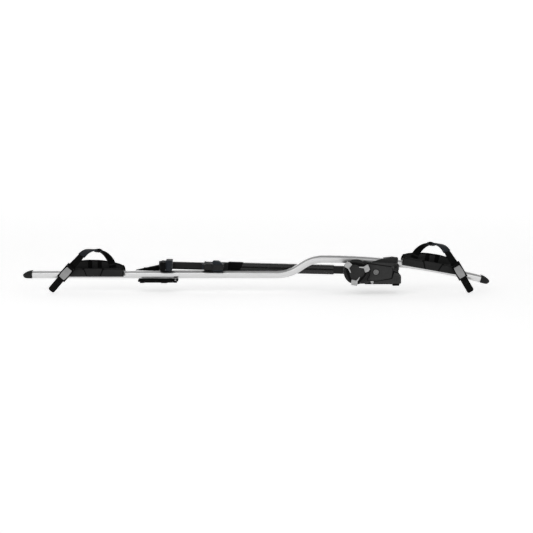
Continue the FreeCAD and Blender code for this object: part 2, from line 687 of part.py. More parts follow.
def make_rear_bracket():
    """Bracket that slides along the rail's T-slot and clamps the rear bar."""
    plate_body = plate("bracket_plate", "XZ", [
        (-718, 11.6), (-606, 11.6), (-598, 8), (-598, 3), (-602, 1), (-616, 1), (-620, 5.5), (-706, 5.5),
        (-711, 0.6), (-722, 0.6), (-723, 4), (-722, 9),
    ], -20, 20)
    lug = box("bracket_lug", (-612, -599), (-29, -19.5), (8.6, 11.6))
    hole = rod("bracket_hole", "z", "bolt_round + 0.3", ("rear_bolt_x", 0), -2, 20)
    pin_hole = rod("bracket_pin_hole", "z", 2.5, (-606, -25), 8, 13)
    keep(cut("rear_bracket", fuse("bracket_solid", plate_body, lug), hole, pin_hole), "rear_bracket")
    nut = fuse(
        "slider_solid",
        box("slider_nut", ("rear_bolt_x - 9", "rear_bolt_x + 9"), (-8.2, 8.2), (14.7, 19.2)),
        box("slider_neck", ("rear_bolt_x - 9", "rear_bolt_x + 9"), (-3.9, 3.9), (11.7, 15)),
    )
    tapped = rod("slider_hole", "z", "bolt_round", ("rear_bolt_x", 0), 11, 18)
    keep(cut("rear_slider", nut, tapped), "rear_slider")
    head = box("rear_bolt_head", ("rear_bolt_x - 9.6", "rear_bolt_x + 9.6"), (-6.5, 6.5), (-4.4, -2.2))
    shank = rod("rear_bolt_shank", "z", "bolt_round", ("rear_bolt_x", 0), -2.3, 17.8)
    keep(fuse("rear_t_bolt", head, shank), "rear_t_bolt")
    pads = [
        box(f"rear_bar_pad_{index}", (low, high), (-19, 19), (0, 5.5))
        for index, (low, high) in enumerate(((-700, -660), (-631, -621)))
    ]
    keep(fuse("rear_bar_pads", *pads), "rear_bar_pads")
    keep(rod("rear_lever_pin", "z", 2.5, (-606, -25), 1.6, 12.6), "rear_lever_pin")
    arm = plate("lever_arm", "XZ", [(-716, 3), (-714, 8), (-608, 8), (-608, 2), (-700, 2), (-706, 0.8), (-714, 0.8)],
                -27.4, -22.6)
    eye = rod("lever_eye", "z", 5, (-606, -25), 2, 8)
    bore = rod("lever_bore", "z", 2.55, (-606, -25), 1, 9)
    keep(cut("rear_clamp_lever", fuse("lever_solid", arm, eye), bore), "rear_clamp_lever")


# ---------------------------------------------------------------- wheel trays and straps

# (towards the base, across, above the rail's centre) from the anchor to the free end
STRAP_ROUTE = [
    (66, 22, 20.8), (62, 22, 36), (52, 19.5, 53), (38, 13.5, 67), (20, 4, 74.6), (0, -8, 76.2), (-14, -20, 72),
    (-26.6, -30, 61), (-40.4, -37.6, 45.1), (-56, -41, 28.3), (-74, -42, 8.3), (-98.7, -42, -20.4),
    (-122, -42, -47.6),
]
WHEEL_Y, WHEEL_W = -6, 25
BUCKLE_POINT = 10


def strap_frames(side):
    """Points of the strap with its width and thickness directions, for a tray of the given side."""
    points = [Vector(side * along, across, up) for along, across, up in STRAP_ROUTE]
    frames = []
    for index, point in enumerate(points):
        before = points[max(index - 1, 0)]
        after = points[min(index + 1, len(points) - 1)]
        run = (after - before).normalize()
        outward = Vector(0, point.y - WHEEL_Y, max(0, point.z - WHEEL_W))
        thick = (outward - run * outward.dot(run)).normalize()
        frames.append((point, run.cross(thick).normalize(), thick))
    return frames


def band(frames, width, thick, lift=0):
    """A flat band through the frames, as a ruled loft of rectangles."""
    wires = []
    for point, across, normal in frames:
        centre = point + normal * lift
        corners = [
            centre + across * (a * width / 2) + normal * (b * thick / 2)
            for a, b in ((-1, -1), (1, -1), (1, 1), (-1, 1), (-1, -1))
        ]
        wires.append(Part.makePolygon(corners))
    return Part.makeLoft(wires, True, True)


def buckle_axes(side):
    """Centre, down-strap direction and width direction of the buckle."""
    frames = strap_frames(side)
    point = frames[BUCKLE_POINT][0]
    run = (frames[BUCKLE_POINT + 1][0] - frames[BUCKLE_POINT - 1][0])
    run.y = 0
    run.normalize()
    return point, run, run.cross(Y_AXIS).normalize()


def buckle_place(side):
    """Local frame of the buckle: X down the strap, Y towards the rail, Z across the strap."""
    point, run, across = buckle_axes(side)
    turn = Rotation(run, Y_AXIS, across, "XYZ")
    return FreeCAD.Placement(Vector(point.x, point.y, point.z), turn)


def make_tray(name, side, place):
    """One wheel tray with its strap and buckle; side is +1 when the base lies towards +X."""
    section = [
        (-33, "tray_foot"), (-33, "near_wall_top"), (-30, "near_wall_top"), (-26, "tray_floor + 2.6"),
        (24, "tray_floor + 2.6"), (27.5, 22), (27.5, "far_wall_top"), (31, "far_wall_top"), (33, 38),
        (33, "tray_foot"), (30.5, "tray_foot"), (30.5, 8.9), (23.4, 8.9), (23.4, "tray_foot"),
        (20.5, "tray_foot"), (20.5, "tray_floor"), (-20.5, "tray_floor"), (-20.5, "tray_foot"),
        (-23.4, "tray_foot"), (-23.4, 8.9), (-30.5, 8.9), (-30.5, "tray_foot"),
    ]
    low, high = ("-tray_tail", "tray_head") if side > 0 else ("-tray_head", "tray_tail")
    body = plate(f"tray_body_{name}", "YZ", section, low, high)
    arch = plate(f"tray_arch_{name}", "XZ", [
        (-86 * side, 20), (-72 * side, 29), (-60 * side, 38), (-12 * side, 42.5), (30 * side, 41.5),
        (68 * side, 35.5), (96 * side, 27.5), (103.5 * side, 20), (110 * side, 12), (110 * side, 60),
        (-86 * side, 60),
    ], 20, 40)
    tray = cut(f"wheel_tray_{name}", body, arch)
    tray.Placement = place
    keep(tray, f"wheel_tray_{name}")

    frames = strap_frames(side)
    width, thick = size_of("strap_width"), size_of("strap_thick")
    keep(shaped(f"tray_strap_{name}", band(frames, width, thick), place), f"tray_strap_{name}")
    sleeve = band(frames[4:8], width + 3.4, thick + 4).cut(band(frames[3:9], width + 0.5, thick + 0.5))
    keep(shaped(f"strap_pad_{name}", sleeve, place), f"strap_pad_{name}")
    anchor = box(f"anchor_block_{name}", (f"{66 * side} - 13", f"{66 * side} + 13"), (18, 23.4), (14.5, 17.8))
    keep(grouped(f"strap_anchor_{name}", anchor, place), f"strap_anchor_{name}")
    make_buckle(name, place.multiply(buckle_place(side)))


def make_buckle(name, place):
    """Ratchet-type buckle: black frame on the strap, hinged grey lever in front of it."""
    base = box(f"buckle_base_{name}", (-31, 31), (-6, -1.6), (-15, 15))
    recess = box(f"buckle_recess_{name}", (-28.8, 32), (-7, -3.6), (-12.6, 12.6))
    ears = [
        box(f"buckle_ear_{name}_{index}", (-31, -21), (-9.4, -5.9), (low, low + 2.4))
        for index, low in enumerate((-15, 12.6))
    ]
    pin_hole = rod(f"buckle_pin_hole_{name}", "z", 1.5, (-25.5, -6.6), -16, 16)
    frame = cut(f"buckle_frame_{name}", fuse(f"buckle_solid_{name}", cut(f"buckle_tub_{name}", base, recess), *ears),
                pin_hole)
    frame.Placement = place
    keep(frame, f"buckle_frame_{name}")
    pin = rod(f"pin_rod_{name}", "z", 1.5, (-25.5, -6.6), -15, 15)
    keep(grouped(f"buckle_pin_{name}", pin, place), f"buckle_pin_{name}")
    lever = fuse(
        f"lever_solid_{name}",
        plate(f"lever_plate_{name}", "XY", [(-25.5, -8.8), (-10, -9.4), (8, -9), (21, -6.2), (21, -4.2),
              (-25.5, -4.2)], -12.2, 12.2),
        rod(f"lever_knuckle_{name}", "z", 2.4, (-25.5, -6.6), -12.2, 12.2),
    )
    bore = rod(f"lever_bore_{name}", "z", 1.55, (-25.5, -6.6), -14, 14)
    blade = cut(f"buckle_lever_{name}", lever, bore)
    blade.Placement = place
    keep(blade, f"buckle_lever_{name}")


def make_trays():
    rear = FreeCAD.Placement(Vector(size_of("rear_tray_x"), 0, size_of("rear_z")), Rotation())
    make_tray("rear", 1, rear)
    make_tray("front", -1, on_front_arc(size_of("front_tray_x")))


# ---------------------------------------------------------------- build, check, write

def check():
    """Every feature computed, every sub-part a valid solid."""
    for item in doc.Objects:
        if "Invalid" in item.State or "Error" in item.State:
            raise RuntimeError(f"{item.Name} failed: {item.State}")
    for node in nodes:
        shape = node.Shape
        if shape.isNull() or not shape.isValid() or not shape.Solids:
            raise RuntimeError(f"{node.Label} has no valid solid")


def write():
    os.makedirs("parts", exist_ok=True)
    for old in os.listdir("parts"):
        os.remove(os.path.join("parts", old))
    for node in nodes:
        node.Shape.exportStep(f"parts/{node.Label}.step")
        solids = len(node.Shape.Solids)
        print(f"{node.Label}: {solids} solid(s), {node.Shape.Volume / 1000:.1f} cm3")


make_rail()
make_end_caps()
make_chassis()
make_rail_bolts()
make_base_cover()
make_door()
make_lock()
make_saddle()
make_pivot_parts()
make_bar_mount()
make_knob()
make_arm_root()
make_outer_tube()
make_lower_jaw()
make_screw()
make_upper_jaw()
make_rear_bracket()
make_trays()
doc.recompute()
check()
write()
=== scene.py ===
"""Looks of the upright roof bicycle carrier: detailed pieces, materials, studio and camera.

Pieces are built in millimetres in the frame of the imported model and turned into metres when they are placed.
"""

import json
import math

import bmesh
import bpy
from mathutils import Matrix, Vector


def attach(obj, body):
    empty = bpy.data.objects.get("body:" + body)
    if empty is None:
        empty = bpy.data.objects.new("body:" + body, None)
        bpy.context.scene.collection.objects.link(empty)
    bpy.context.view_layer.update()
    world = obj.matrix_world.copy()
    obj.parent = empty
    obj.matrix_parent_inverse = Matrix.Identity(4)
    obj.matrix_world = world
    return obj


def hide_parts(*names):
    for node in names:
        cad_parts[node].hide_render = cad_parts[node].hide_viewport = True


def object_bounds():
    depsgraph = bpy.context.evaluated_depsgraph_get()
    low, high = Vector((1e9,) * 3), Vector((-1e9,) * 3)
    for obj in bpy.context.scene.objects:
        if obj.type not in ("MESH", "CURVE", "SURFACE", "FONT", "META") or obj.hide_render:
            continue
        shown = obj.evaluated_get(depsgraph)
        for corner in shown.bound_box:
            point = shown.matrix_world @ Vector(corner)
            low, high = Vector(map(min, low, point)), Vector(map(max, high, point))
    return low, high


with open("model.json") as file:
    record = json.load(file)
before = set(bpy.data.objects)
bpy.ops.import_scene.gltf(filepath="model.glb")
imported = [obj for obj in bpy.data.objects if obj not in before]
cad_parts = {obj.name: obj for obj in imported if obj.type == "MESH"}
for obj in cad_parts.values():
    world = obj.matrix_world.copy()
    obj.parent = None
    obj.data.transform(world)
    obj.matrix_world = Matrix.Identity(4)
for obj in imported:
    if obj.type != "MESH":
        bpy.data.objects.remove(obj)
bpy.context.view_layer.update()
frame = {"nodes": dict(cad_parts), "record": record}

MM = 0.001
SMOOTH_TURN = math.radians(32)  # edges that turn less are shaded smooth
SOFT_TURN = math.radians(50)  # the same for webbing and padding
BEVEL_TURN = math.radians(40)  # edges that turn more are rounded
PIVOT = Vector((-48, 0, 40.6))
LOCK = (13.2, 39.1)
HOUSING_FACE = -90.4


# ---- places

def shift(x, y, z):
    return Matrix.Translation((x, y, z))


WORLD = Matrix.Identity(4)
KNOB = Matrix.Translation(PIVOT)
ARM = shift(PIVOT.x, 42, PIVOT.z) @ Matrix.Rotation(math.radians(1.53), 4, "Y")
REAR_TRAY = shift(-870, 0, 23)
FRONT_TRAY = shift(199.5, 0, 41.246) @ Matrix.Rotation(math.radians(10.147), 4, "Y")
ARC_CENTRE = Vector((-145.989, 0, -1889.08))
ARC_RADIUS = 1961


def on_front_arc(x):
    """Frame on the rail's centre line where its front stretch has the given X."""
    pitch = math.asin((x - ARC_CENTRE.x) / ARC_RADIUS)
    height = ARC_CENTRE.z + ARC_RADIUS * math.cos(pitch)
    return shift(x, 0, height) @ Matrix.Rotation(pitch, 4, "Y")


# ---- material nodes

def map_range(tree, value, *limits):
    """Map Range node's result; the limits are From Min, From Max, To Min and To Max."""
    node = tree.nodes.new("ShaderNodeMapRange")
    tree.links.new(value, node.inputs["Value"])
    for name, limit in zip(("From Min", "From Max", "To Min", "To Max"), limits):
        node.inputs[name].default_value = limit
    return node.outputs["Result"]


class Nodes:
    """Short names for building one material's node tree."""

    def __init__(self, name):
        self.material = bpy.data.materials.new(name)
        self.material.use_nodes = True
        self.tree = self.material.node_tree
        self.shader = self.tree.nodes["Principled BSDF"]
        self.place = self.add("ShaderNodeTexCoord").outputs["Object"]

    def add(self, kind, **settings):
        node = self.tree.nodes.new(kind)
        for key, value in settings.items():
            setattr(node, key, value)
        return node

    def link(self, output, socket):
        self.tree.links.new(output, socket)

    def put(self, name, value):
        """Sets or links a socket of the surface shader."""
        self.set(self.shader.inputs[name], value)

    def stretched(self, scale):
        """Coordinates with a different scale on each axis."""
        mapping = self.add("ShaderNodeMapping")
        self.link(self.place, mapping.inputs["Vector"])
        mapping.inputs["Scale"].default_value = scale
        return mapping.outputs["Vector"]

    def noise(self, scale, detail=3, source=None):
        node = self.add("ShaderNodeTexNoise")
        node.inputs["Scale"].default_value = scale
        node.inputs["Detail"].default_value = detail
        self.link(source or self.place, node.inputs["Vector"])
        return node.outputs["Fac"]

    def ramp(self, value, low, high, start=0.3, end=0.7):
        """Maps a value between two limits to a number."""
        return map_range(self.tree, value, start, end, low, high)

    def mix(self, factor, first, second):
        """Mixes two colours, each a socket or an RGB value."""
        node = self.add("ShaderNodeMix", data_type="RGBA")
        self.set(node.inputs["Factor"], factor)
        self.set(node.inputs["A"], first, True)
        self.set(node.inputs["B"], second, True)
        return node.outputs[2]

    def set(self, socket, value, colour=False):
        if hasattr(value, "node"):
            self.link(value, socket)
        elif colour:
            socket.default_value = (*value, 1)
        else:
            socket.default_value = value

    def calc(self, kind, first, second=0.0):
        node = self.add("ShaderNodeMath", operation=kind)
        self.set(node.inputs[0], first)
        self.set(node.inputs[1], second)
        return node.outputs[0]

    def bump(self, height, distance):
        node = self.add("ShaderNodeBump")
        node.inputs["Strength"].default_value = 1.0
        node.inputs["Distance"].default_value = distance
        self.link(height, node.inputs["Height"])
        self.put("Normal", node.outputs["Normal"])

    def worn(self, amount, colour, rubbed):
        """Base colour with rubbed convex edges, broken up by noise."""
        point = self.add("ShaderNodeNewGeometry").outputs["Pointiness"]
        mask = self.ramp(point, 0, 1, 0.52, 0.6)
        mask = self.calc("MULTIPLY", mask, self.ramp(self.noise(220, 4), 0.1, 1))
        self.put("Base Color", self.mix(self.calc("MULTIPLY", mask, amount), colour, rubbed))


def grey(value, warmth=0.0, blue=0.0):
    """sRGB grey of 0 to 255 as a linear colour, slightly warmer or bluer if asked."""
    channels = (value + warmth, value, value - warmth + blue)
    return tuple((channel / 255) ** 2.2 for channel in channels)


def shaded(colour, factor):
    return tuple(channel * factor for channel in colour)


def moulded(name, colour, rough, wear=0.35, specular=0.5):
    """Moulded plastic: fine spark-eroded grain, faint flow marks, rubbed edges."""
    kit = Nodes(name)
    flow = kit.noise(22, 4, kit.stretched((1, 2.5, 2.5)))
    body = kit.mix(kit.ramp(flow, 0, 1), shaded(colour, 0.86), shaded(colour, 1.14))
    dust = kit.mix(kit.ramp(kit.noise(700, 2), 0, 0.35, 0.55, 0.75), body, shaded(colour, 1.5))
    kit.worn(wear, dust, shaded(colour, 2.2))
    kit.put("Roughness", kit.ramp(kit.noise(60, 5), rough - 0.07, rough + 0.1))
    kit.put("Specular IOR Level", specular)
    kit.bump(kit.noise(1800, 2), 0.00006)
    return kit.material


def brushed(name, colour, rough, run=(1, 1, 1)):
    """Metal with fine lines along its run, handling marks and bright edges."""
    kit = Nodes(name)
    lines = kit.noise(900, 3, kit.stretched(run))
    smudge = kit.noise(14, 5)
    tone = kit.mix(kit.ramp(lines, 0, 1), shaded(colour, 0.93), shaded(colour, 1.05))
    tone = kit.mix(kit.ramp(smudge, 0, 0.3), tone, shaded(colour, 0.9))
    kit.worn(0.3, tone, shaded(colour, 1.3))
    kit.put("Metallic", 1.0)
    kit.put("Roughness", kit.ramp(lines, rough - 0.05, rough + 0.07))
    kit.bump(lines, 0.00002)
    return kit.material


def coated(name, colour, rough, specular=0.2):
    """Powder coat: orange-peel skin over metal."""
    kit = Nodes(name)
    tone = kit.mix(kit.ramp(kit.noise(30, 4), 0, 1), shaded(colour, 0.9), shaded(colour, 1.12))
    kit.worn(0.4, tone, shaded(colour, 2.4))
    kit.put("Roughness", kit.ramp(kit.noise(90, 4), rough - 0.05, rough + 0.08))
    kit.put("Specular IOR Level", specular)
    kit.put("Coat Weight", 0.12)
    kit.put("Coat Roughness", 0.3)
    kit.bump(kit.noise(420, 2), 0.00002)
    return kit.material


def rubbery(name, colour, rough):
    """Soft rubber: matt, dusty bloom, coarse skin."""
    kit = Nodes(name)
    bloom = kit.noise(45, 5)
    tone = kit.mix(kit.ramp(bloom, 0, 1), shaded(colour, 0.84), shaded(colour, 1.16))
    specks = kit.mix(kit.ramp(kit.noise(1200, 2), 0, 0.5, 0.6, 0.8), tone, shaded(colour, 1.6))
    kit.put("Base Color", specks)
    kit.put("Roughness", kit.ramp(bloom, rough - 0.08, rough + 0.08))
    kit.put("Sheen Weight", 0.08)
    kit.put("Specular IOR Level", 0.2)
    kit.bump(kit.noise(1000, 3), 0.00012)
    return kit.material


def woven(name, colour):
    """Polyester webbing: UV holds millimetres along and across the strap."""
    kit = Nodes(name)
    uv = kit.add("ShaderNodeTexCoord").outputs["UV"]
    split = kit.add("ShaderNodeSeparateXYZ")
    kit.link(uv, split.inputs[0])
    along = kit.calc("MULTIPLY", split.outputs[0], 2 * math.pi / 2.6)
    across = kit.calc("MULTIPLY", split.outputs[1], 2 * math.pi / 2.2)
    diagonal = kit.calc("SINE", kit.calc("ADD", along, across))
    ribs = kit.calc("SINE", kit.calc("MULTIPLY", across, 2.0))
    picks = kit.calc("SINE", kit.calc("MULTIPLY", along, 2.0))
    weave = kit.calc("ADD", kit.calc("MULTIPLY", diagonal, ribs), kit.calc("MULTIPLY", picks, 0.5))
    fuzz = kit.noise(2500, 2)
    height = kit.calc("ADD", kit.calc("MULTIPLY", weave, 0.5), fuzz)
    tone = kit.mix(kit.ramp(weave, 0, 1, -1, 1.2), shaded(colour, 0.7), shaded(colour, 1.5))
    tone = kit.mix(kit.ramp(kit.noise(35, 4), 0, 0.35), tone, shaded(colour, 1.7))
    kit.put("Base Color", tone)
    kit.put("Roughness", kit.ramp(fuzz, 0.55, 0.8))
    kit.put("Sheen Weight", 0.03)
    kit.put("Specular IOR Level", 0.1)
    kit.bump(height, 0.00018)
    return kit.material


MATERIALS = {
    "anodised_rail": brushed("anodised_rail", grey(216), 0.3, (0.02, 1, 1)),
    "black_plastic": moulded("black_plastic", grey(12), 0.56, specular=0.07),
    "cap_plastic": moulded("cap_plastic", grey(41), 0.58, specular=0.1),
    "housing_plastic": moulded("housing_plastic", grey(57), 0.64, specular=0.08),
    "knob_black": moulded("knob_black", grey(10), 0.44, specular=0.1),
    "knob_grey": moulded("knob_grey", grey(45), 0.58, specular=0.12),
    "grip_grey": moulded("grip_grey", grey(171), 0.5, wear=0.12),
    "lever_grey": moulded("lever_grey", grey(142), 0.42, wear=0.15),
    "tube_black": coated("tube_black", grey(8), 0.26, specular=0.42),
    "steel": brushed("steel", grey(190), 0.28),
    "black_steel": coated("black_steel", grey(14), 0.42),
    "casting": coated("casting", grey(22), 0.5),
    "pad_rubber": rubbery("pad_rubber", grey(37, -4, 1), 0.7),
    "black_rubber": rubbery("black_rubber", grey(14), 0.8),
    "bronze": brushed("bronze", (0.55, 0.36, 0.17), 0.32),
    "webbing": woven("webbing", grey(7)),
    "zinc_lock": brushed("zinc_lock", grey(122), 0.34),
}


# ---- CAD nodes that stay

def smoothing_group():
    """Modifier that shades faces smoothly across edges of a small turn."""
    group = bpy.data.node_groups.new("smooth_by_angle", "GeometryNodeTree")
    group.interface.new_socket("Geometry", in_out="INPUT", socket_type="NodeSocketGeometry")
    group.interface.new_socket("Geometry", in_out="OUTPUT", socket_type="NodeSocketGeometry")
    start = group.nodes.new("NodeGroupInput")
    end = group.nodes.new("NodeGroupOutput")
    faces = group.nodes.new("GeometryNodeSetShadeSmooth")
    edges = group.nodes.new("GeometryNodeSetShadeSmooth")
    faces.domain = "FACE"
    edges.domain = "EDGE"
    angle = group.nodes.new("GeometryNodeInputMeshEdgeAngle")
    sharp = group.nodes.new("FunctionNodeCompare")
    sharp.operation = "LESS_THAN"
    sharp.inputs[1].default_value = SMOOTH_TURN
    group.links.new(start.outputs[0], faces.inputs[0])
    group.links.new(faces.outputs[0], edges.inputs[0])
    group.links.new(angle.outputs[0], sharp.inputs[0])
    group.links.new(sharp.outputs[0], edges.inputs["Selection"])
    group.links.new(edges.outputs[0], end.inputs[0])
    return group


SMOOTH = smoothing_group()


def round_edges(made, edge):
    bevel = made.modifiers.new("edges", "BEVEL")
    bevel.width = edge * MM
    bevel.segments = 2
    bevel.limit_method = "ANGLE"
    bevel.angle_limit = BEVEL_TURN


def dress(node, edge):
    """Gives a CAD node its slot's material and small rounded edges."""
    body = frame["nodes"][node]
    rows = frame["record"]["subparts"]
    slot = next(row["material_slot"] for row in rows if row["node"] == node)
    body.data.materials.clear()
    body.data.materials.append(MATERIALS[slot])
    weld = body.modifiers.new("weld", "WELD")
    weld.merge_threshold = 0.00001
    if edge:
        round_edges(body, edge)
    shade = body.modifiers.new("shade", "NODES")
    shade.node_group = SMOOTH


# ---- mesh building

def rounded(points, radii, steps=5):
    """Closed 2D outline with its corners turned into arcs; radii is one number or one per corner."""
    count = len(points)
    radii = [radii] * count if isinstance(radii, (int, float)) else radii
    result = []
    for index, radius in enumerate(radii):
        corner = Vector(points[index])
        if radius <= 0:
            result.append(corner)
            continue
        before = Vector(points[index - 1]) - corner
        after = Vector(points[(index + 1) % count]) - corner
        half = before.angle(after) / 2
        reach = min(radius / math.tan(half), before.length * 0.48, after.length * 0.48)
        start = corner + before.normalized() * reach
        end = corner + after.normalized() * reach
        for step in range(steps + 1):
            t = step / steps
            result.append(start * (1 - t) ** 2 + corner * 2 * t * (1 - t) + end * t * t)
    return result


AXES = {"x": (1, 2, 0), "y": (0, 2, 1), "z": (0, 1, 2)}


def polar(turn, radius):
    return Vector((radius * math.cos(turn), radius * math.sin(turn)))


def spot(axis, u, v, w):
    """3D point from outline coordinates u, v and the depth w along an axis."""
    place = [0.0, 0.0, 0.0]
    first, second, depth = AXES[axis]
    place[first], place[second], place[depth] = u, v, w
    return Vector(place)


def loft(mesh, rings, caps=True, around=True):
    """Faces between successive rings of points."""
    rows = [[mesh.verts.new(point) for point in ring] for ring in rings]
    count = len(rings[0])
    for first, second in zip(rows, rows[1:]):
        for index in range(count if around else count - 1):
            following = (index + 1) % count
            mesh.faces.new((first[index], first[following], second[following], second[index]))
    if caps:
        mesh.faces.new(rows[0])
        mesh.faces.new(rows[-1])
    return rows


def prism(mesh, outline, axis, low, high, low_edge=0.0, high_edge=0.0, steps=3):
    """Extruded outline whose rims at the low and high end may be rounded."""
    rows = loft(mesh, [[spot(axis, p[0], p[1], depth) for p in outline] for depth in (low, high)])
    for row, size in ((rows[0], low_edge), (rows[1], high_edge)):
        if not size:
            continue
        rim = set(row)
        edges = {edge for vertex in rim for edge in vertex.link_edges if edge.other_vert(vertex) in rim}
        bmesh.ops.bevel(mesh, geom=list(edges), offset=size, segments=steps, profile=0.5, affect="EDGES",
                        clamp_overlap=True)


def lathe(mesh, profile, centre, axis="y", steps=48):
    """Closed profile of (depth, radius) turned about an axis through a centre in outline coordinates."""
    rings = []
    for step in range(steps):
        away = polar(2 * math.pi * step / steps, 1)
        rings.append([spot(axis, *(Vector(centre) + away * radius), depth) for depth, radius in profile])
    loft(mesh, rings + rings[:1], caps=False)
    bmesh.ops.remove_doubles(mesh, verts=mesh.verts[:], dist=0.0005)


def block(mesh, low, high, edge=0.6, place=None):
    """Box with rounded edges between two corners."""
    outline = ((low[0], low[1]), (high[0], low[1]), (high[0], high[1]), (low[0], high[1]))
    rows = loft(mesh, [[Vector((x, y, z)) for x, y in outline] for z in (low[2], high[2])])
    corners = {vertex for row in rows for vertex in row}
    if place:
        bmesh.ops.transform(mesh, matrix=place, verts=list(corners))
    edges = {found for vertex in corners for found in vertex.link_edges}
    bmesh.ops.bevel(mesh, geom=list(edges), offset=edge, segments=2, profile=0.5, affect="EDGES",
                    clamp_overlap=True)


def linked(name, data):
    """New object for some data, linked to the scene."""
    made = bpy.data.objects.new(name, data)
    bpy.context.collection.objects.link(made)
    return made


def meshed(name, mesh, place=WORLD):
    """Mesh data in metres from a mesh under construction in millimetres."""
    bmesh.ops.recalc_face_normals(mesh, faces=mesh.faces[:])
    data = bpy.data.meshes.new(name)
    mesh.to_mesh(data)
    mesh.free()
    data.transform(Matrix.Scale(MM, 4) @ place)
    return data


def piece(name, mesh, body, slot, replaces=(), place=WORLD, sharp=SMOOTH_TURN):
    """Turns a mesh under construction into a piece that rides on a body."""
    data = meshed(name, mesh, place)
    if place.determinant() < 0:
        data.flip_normals()
    data.shade_smooth()
    data.set_sharp_from_angle(angle=sharp)
    data.materials.append(MATERIALS[slot])
    made = linked(name, data)
    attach(made, body)
    if replaces:
        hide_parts(*replaces)
    return made


def carved(name, solid, tools, body, slot, replaces):
    """A piece cut by other meshes, with small rounded edges after the cuts."""
    made = piece(name, solid, body, slot, replaces)
    cutters = []
    for index, tool in enumerate(tools):
        tool_name = f"{name}_tool_{index}"
        cutter = linked(tool_name, meshed(tool_name, tool))
        cutters.append(cutter)
        cutting = made.modifiers.new(f"cut_{index}", "BOOLEAN")
        cutting.operation = "DIFFERENCE"
        cutting.solver = "EXACT"
        cutting.object = cutter
    round_edges(made, 0.4)
    bpy.context.view_layer.update()
    depsgraph = bpy.context.evaluated_depsgraph_get()
    data = bpy.data.meshes.new_from_object(made.evaluated_get(depsgraph))
    made.modifiers.clear()
    made.data = data
    data.shade_smooth()
    data.set_sharp_from_angle(angle=SMOOTH_TURN)
    for cutter in cutters:
        bpy.data.objects.remove(cutter)
    return made


# ---- rail ends

def bow(name, node, place):
    """Boat-bow end cap: a closed loft that narrows to a blunt tip below mid-height."""
    mesh = bmesh.new()
    rings = []
    for step in range(12):
        t = step / 11
        x = 26 * (t + math.sin(t * math.pi / 2)) / 2
        half = 9.2 + 11.4 * (1 - t ** 2.4)
        top = 0.6 + 11 * (1 - t ** 1.5)
        low = -3.4 - 8 * (1 - t ** 4.5)
        corner = min(5.5, (top - low) * 0.35)
        outline = rounded([(-half, low), (-half, top), (half, top), (half, low)], corner, 4)
        rings.append([Vector((x, p[0], p[1])) for p in outline])
    lip = [Vector((-3, point.y, point.z)) for point in rings[0]]
    loft(mesh, [lip] + rings)
    piece(name, mesh, "carrier", "cap_plastic", [node], place)


def make_rail():
    dress("rail", 0.4)
    bow("end_cap_front", "rail_end_cap_front", on_front_arc(346))
    rear = shift(-1055, 0, 23) @ Matrix.Rotation(math.pi, 4, "Z")
    bow("end_cap_rear", "rail_end_cap_rear", rear)


# ---- base

DOOR_OUTLINE = [(-11.4, 64.4), (60.9, 54.2), (64.2, 48.5), (61.2, 20.7), (16.3, 12.4), (-13, 14.2),
                (-5.6, 27), (-3.2, 40.6), (-5.4, 54)]
DOOR_ROUNDS = [1.5, 7, 9, 6, 4, 2, 3, 3, 3]


def door_outline():
    return rounded(DOOR_OUTLINE, DOOR_ROUNDS)


def housing_outline(inset=0.0):
    """Side view of the near housing: a round end at the pivot and a stepped end at the bar."""
    centre = Vector((PIVOT.x, PIVOT.z))
    left = [centre + polar(math.radians(90 + 180 * step / 24), 37.8 - inset) for step in range(25)]
    low = 3 + inset
    right = rounded([
        (-30, low), (90.6 - inset, low), (90.6 - inset, 27), (80.5 - inset, 41), (83.8 - inset, 46),
        (83.6 - inset, 64.5 - inset), (60, 66.5 - inset), (3, 69.1 - inset), (-30, 76 - inset),
    ], [0, 3, 7, 3, 2, 5, 12, 20, 10], 6)
    return left + right


def grown(outline, amount):
    """Outline moved outward along its corner normals."""
    count = len(outline)
    area = sum(outline[i - 1].x * outline[i].y - outline[i].x * outline[i - 1].y for i in range(count))
    sign = 1 if area > 0 else -1
    result = []
    for index, point in enumerate(outline):
        before = (point - outline[index - 1]).normalized()
        after = (outline[(index + 1) % count] - point).normalized()
        first = Vector((before.y, -before.x))
        second = Vector((after.y, -after.x))
        normal = (first + second).normalized()
        result.append(point + normal * (sign * amount / max(0.4, normal.dot(first))))
    return result


def lean_back(mesh):
    """Lowers the roof of the housing away from its near face."""
    waist, roof, slope = 41, 63, 0.105
    for vertex in mesh.verts:
        if vertex.co.z > waist:
            share = min(1, (vertex.co.z - waist) / (roof - waist))
            vertex.co.z -= slope * (vertex.co.y - HOUSING_FACE) * share


def make_housing():
    shell = bmesh.new()
    prism(shell, housing_outline(), "y", HOUSING_FACE, -26.5, low_edge=3.2, high_edge=1, steps=4)
    lean_back(shell)
    hollow = bmesh.new()
    prism(hollow, housing_outline(3), "y", -84.5, -20)
    lean_back(hollow)
    recess = bmesh.new()
    prism(recess, grown(door_outline(), 2.6), "y", -99, -86.9)
    opening = bmesh.new()
    prism(opening, rounded([(-2, 16), (58, 16), (58, 53), (-2, 53)], 4), "y", -99, -70)
    knob_hole = bmesh.new()
    lathe(knob_hole, [(-99, 0.01), (-99, 14), (-80, 14), (-80, 0.01)], (PIVOT.x, PIVOT.z))
    tools = [hollow, recess, opening, knob_hole]
    carved("base_housing", shell, tools, "carrier", "housing_plastic", ["base_cover"])


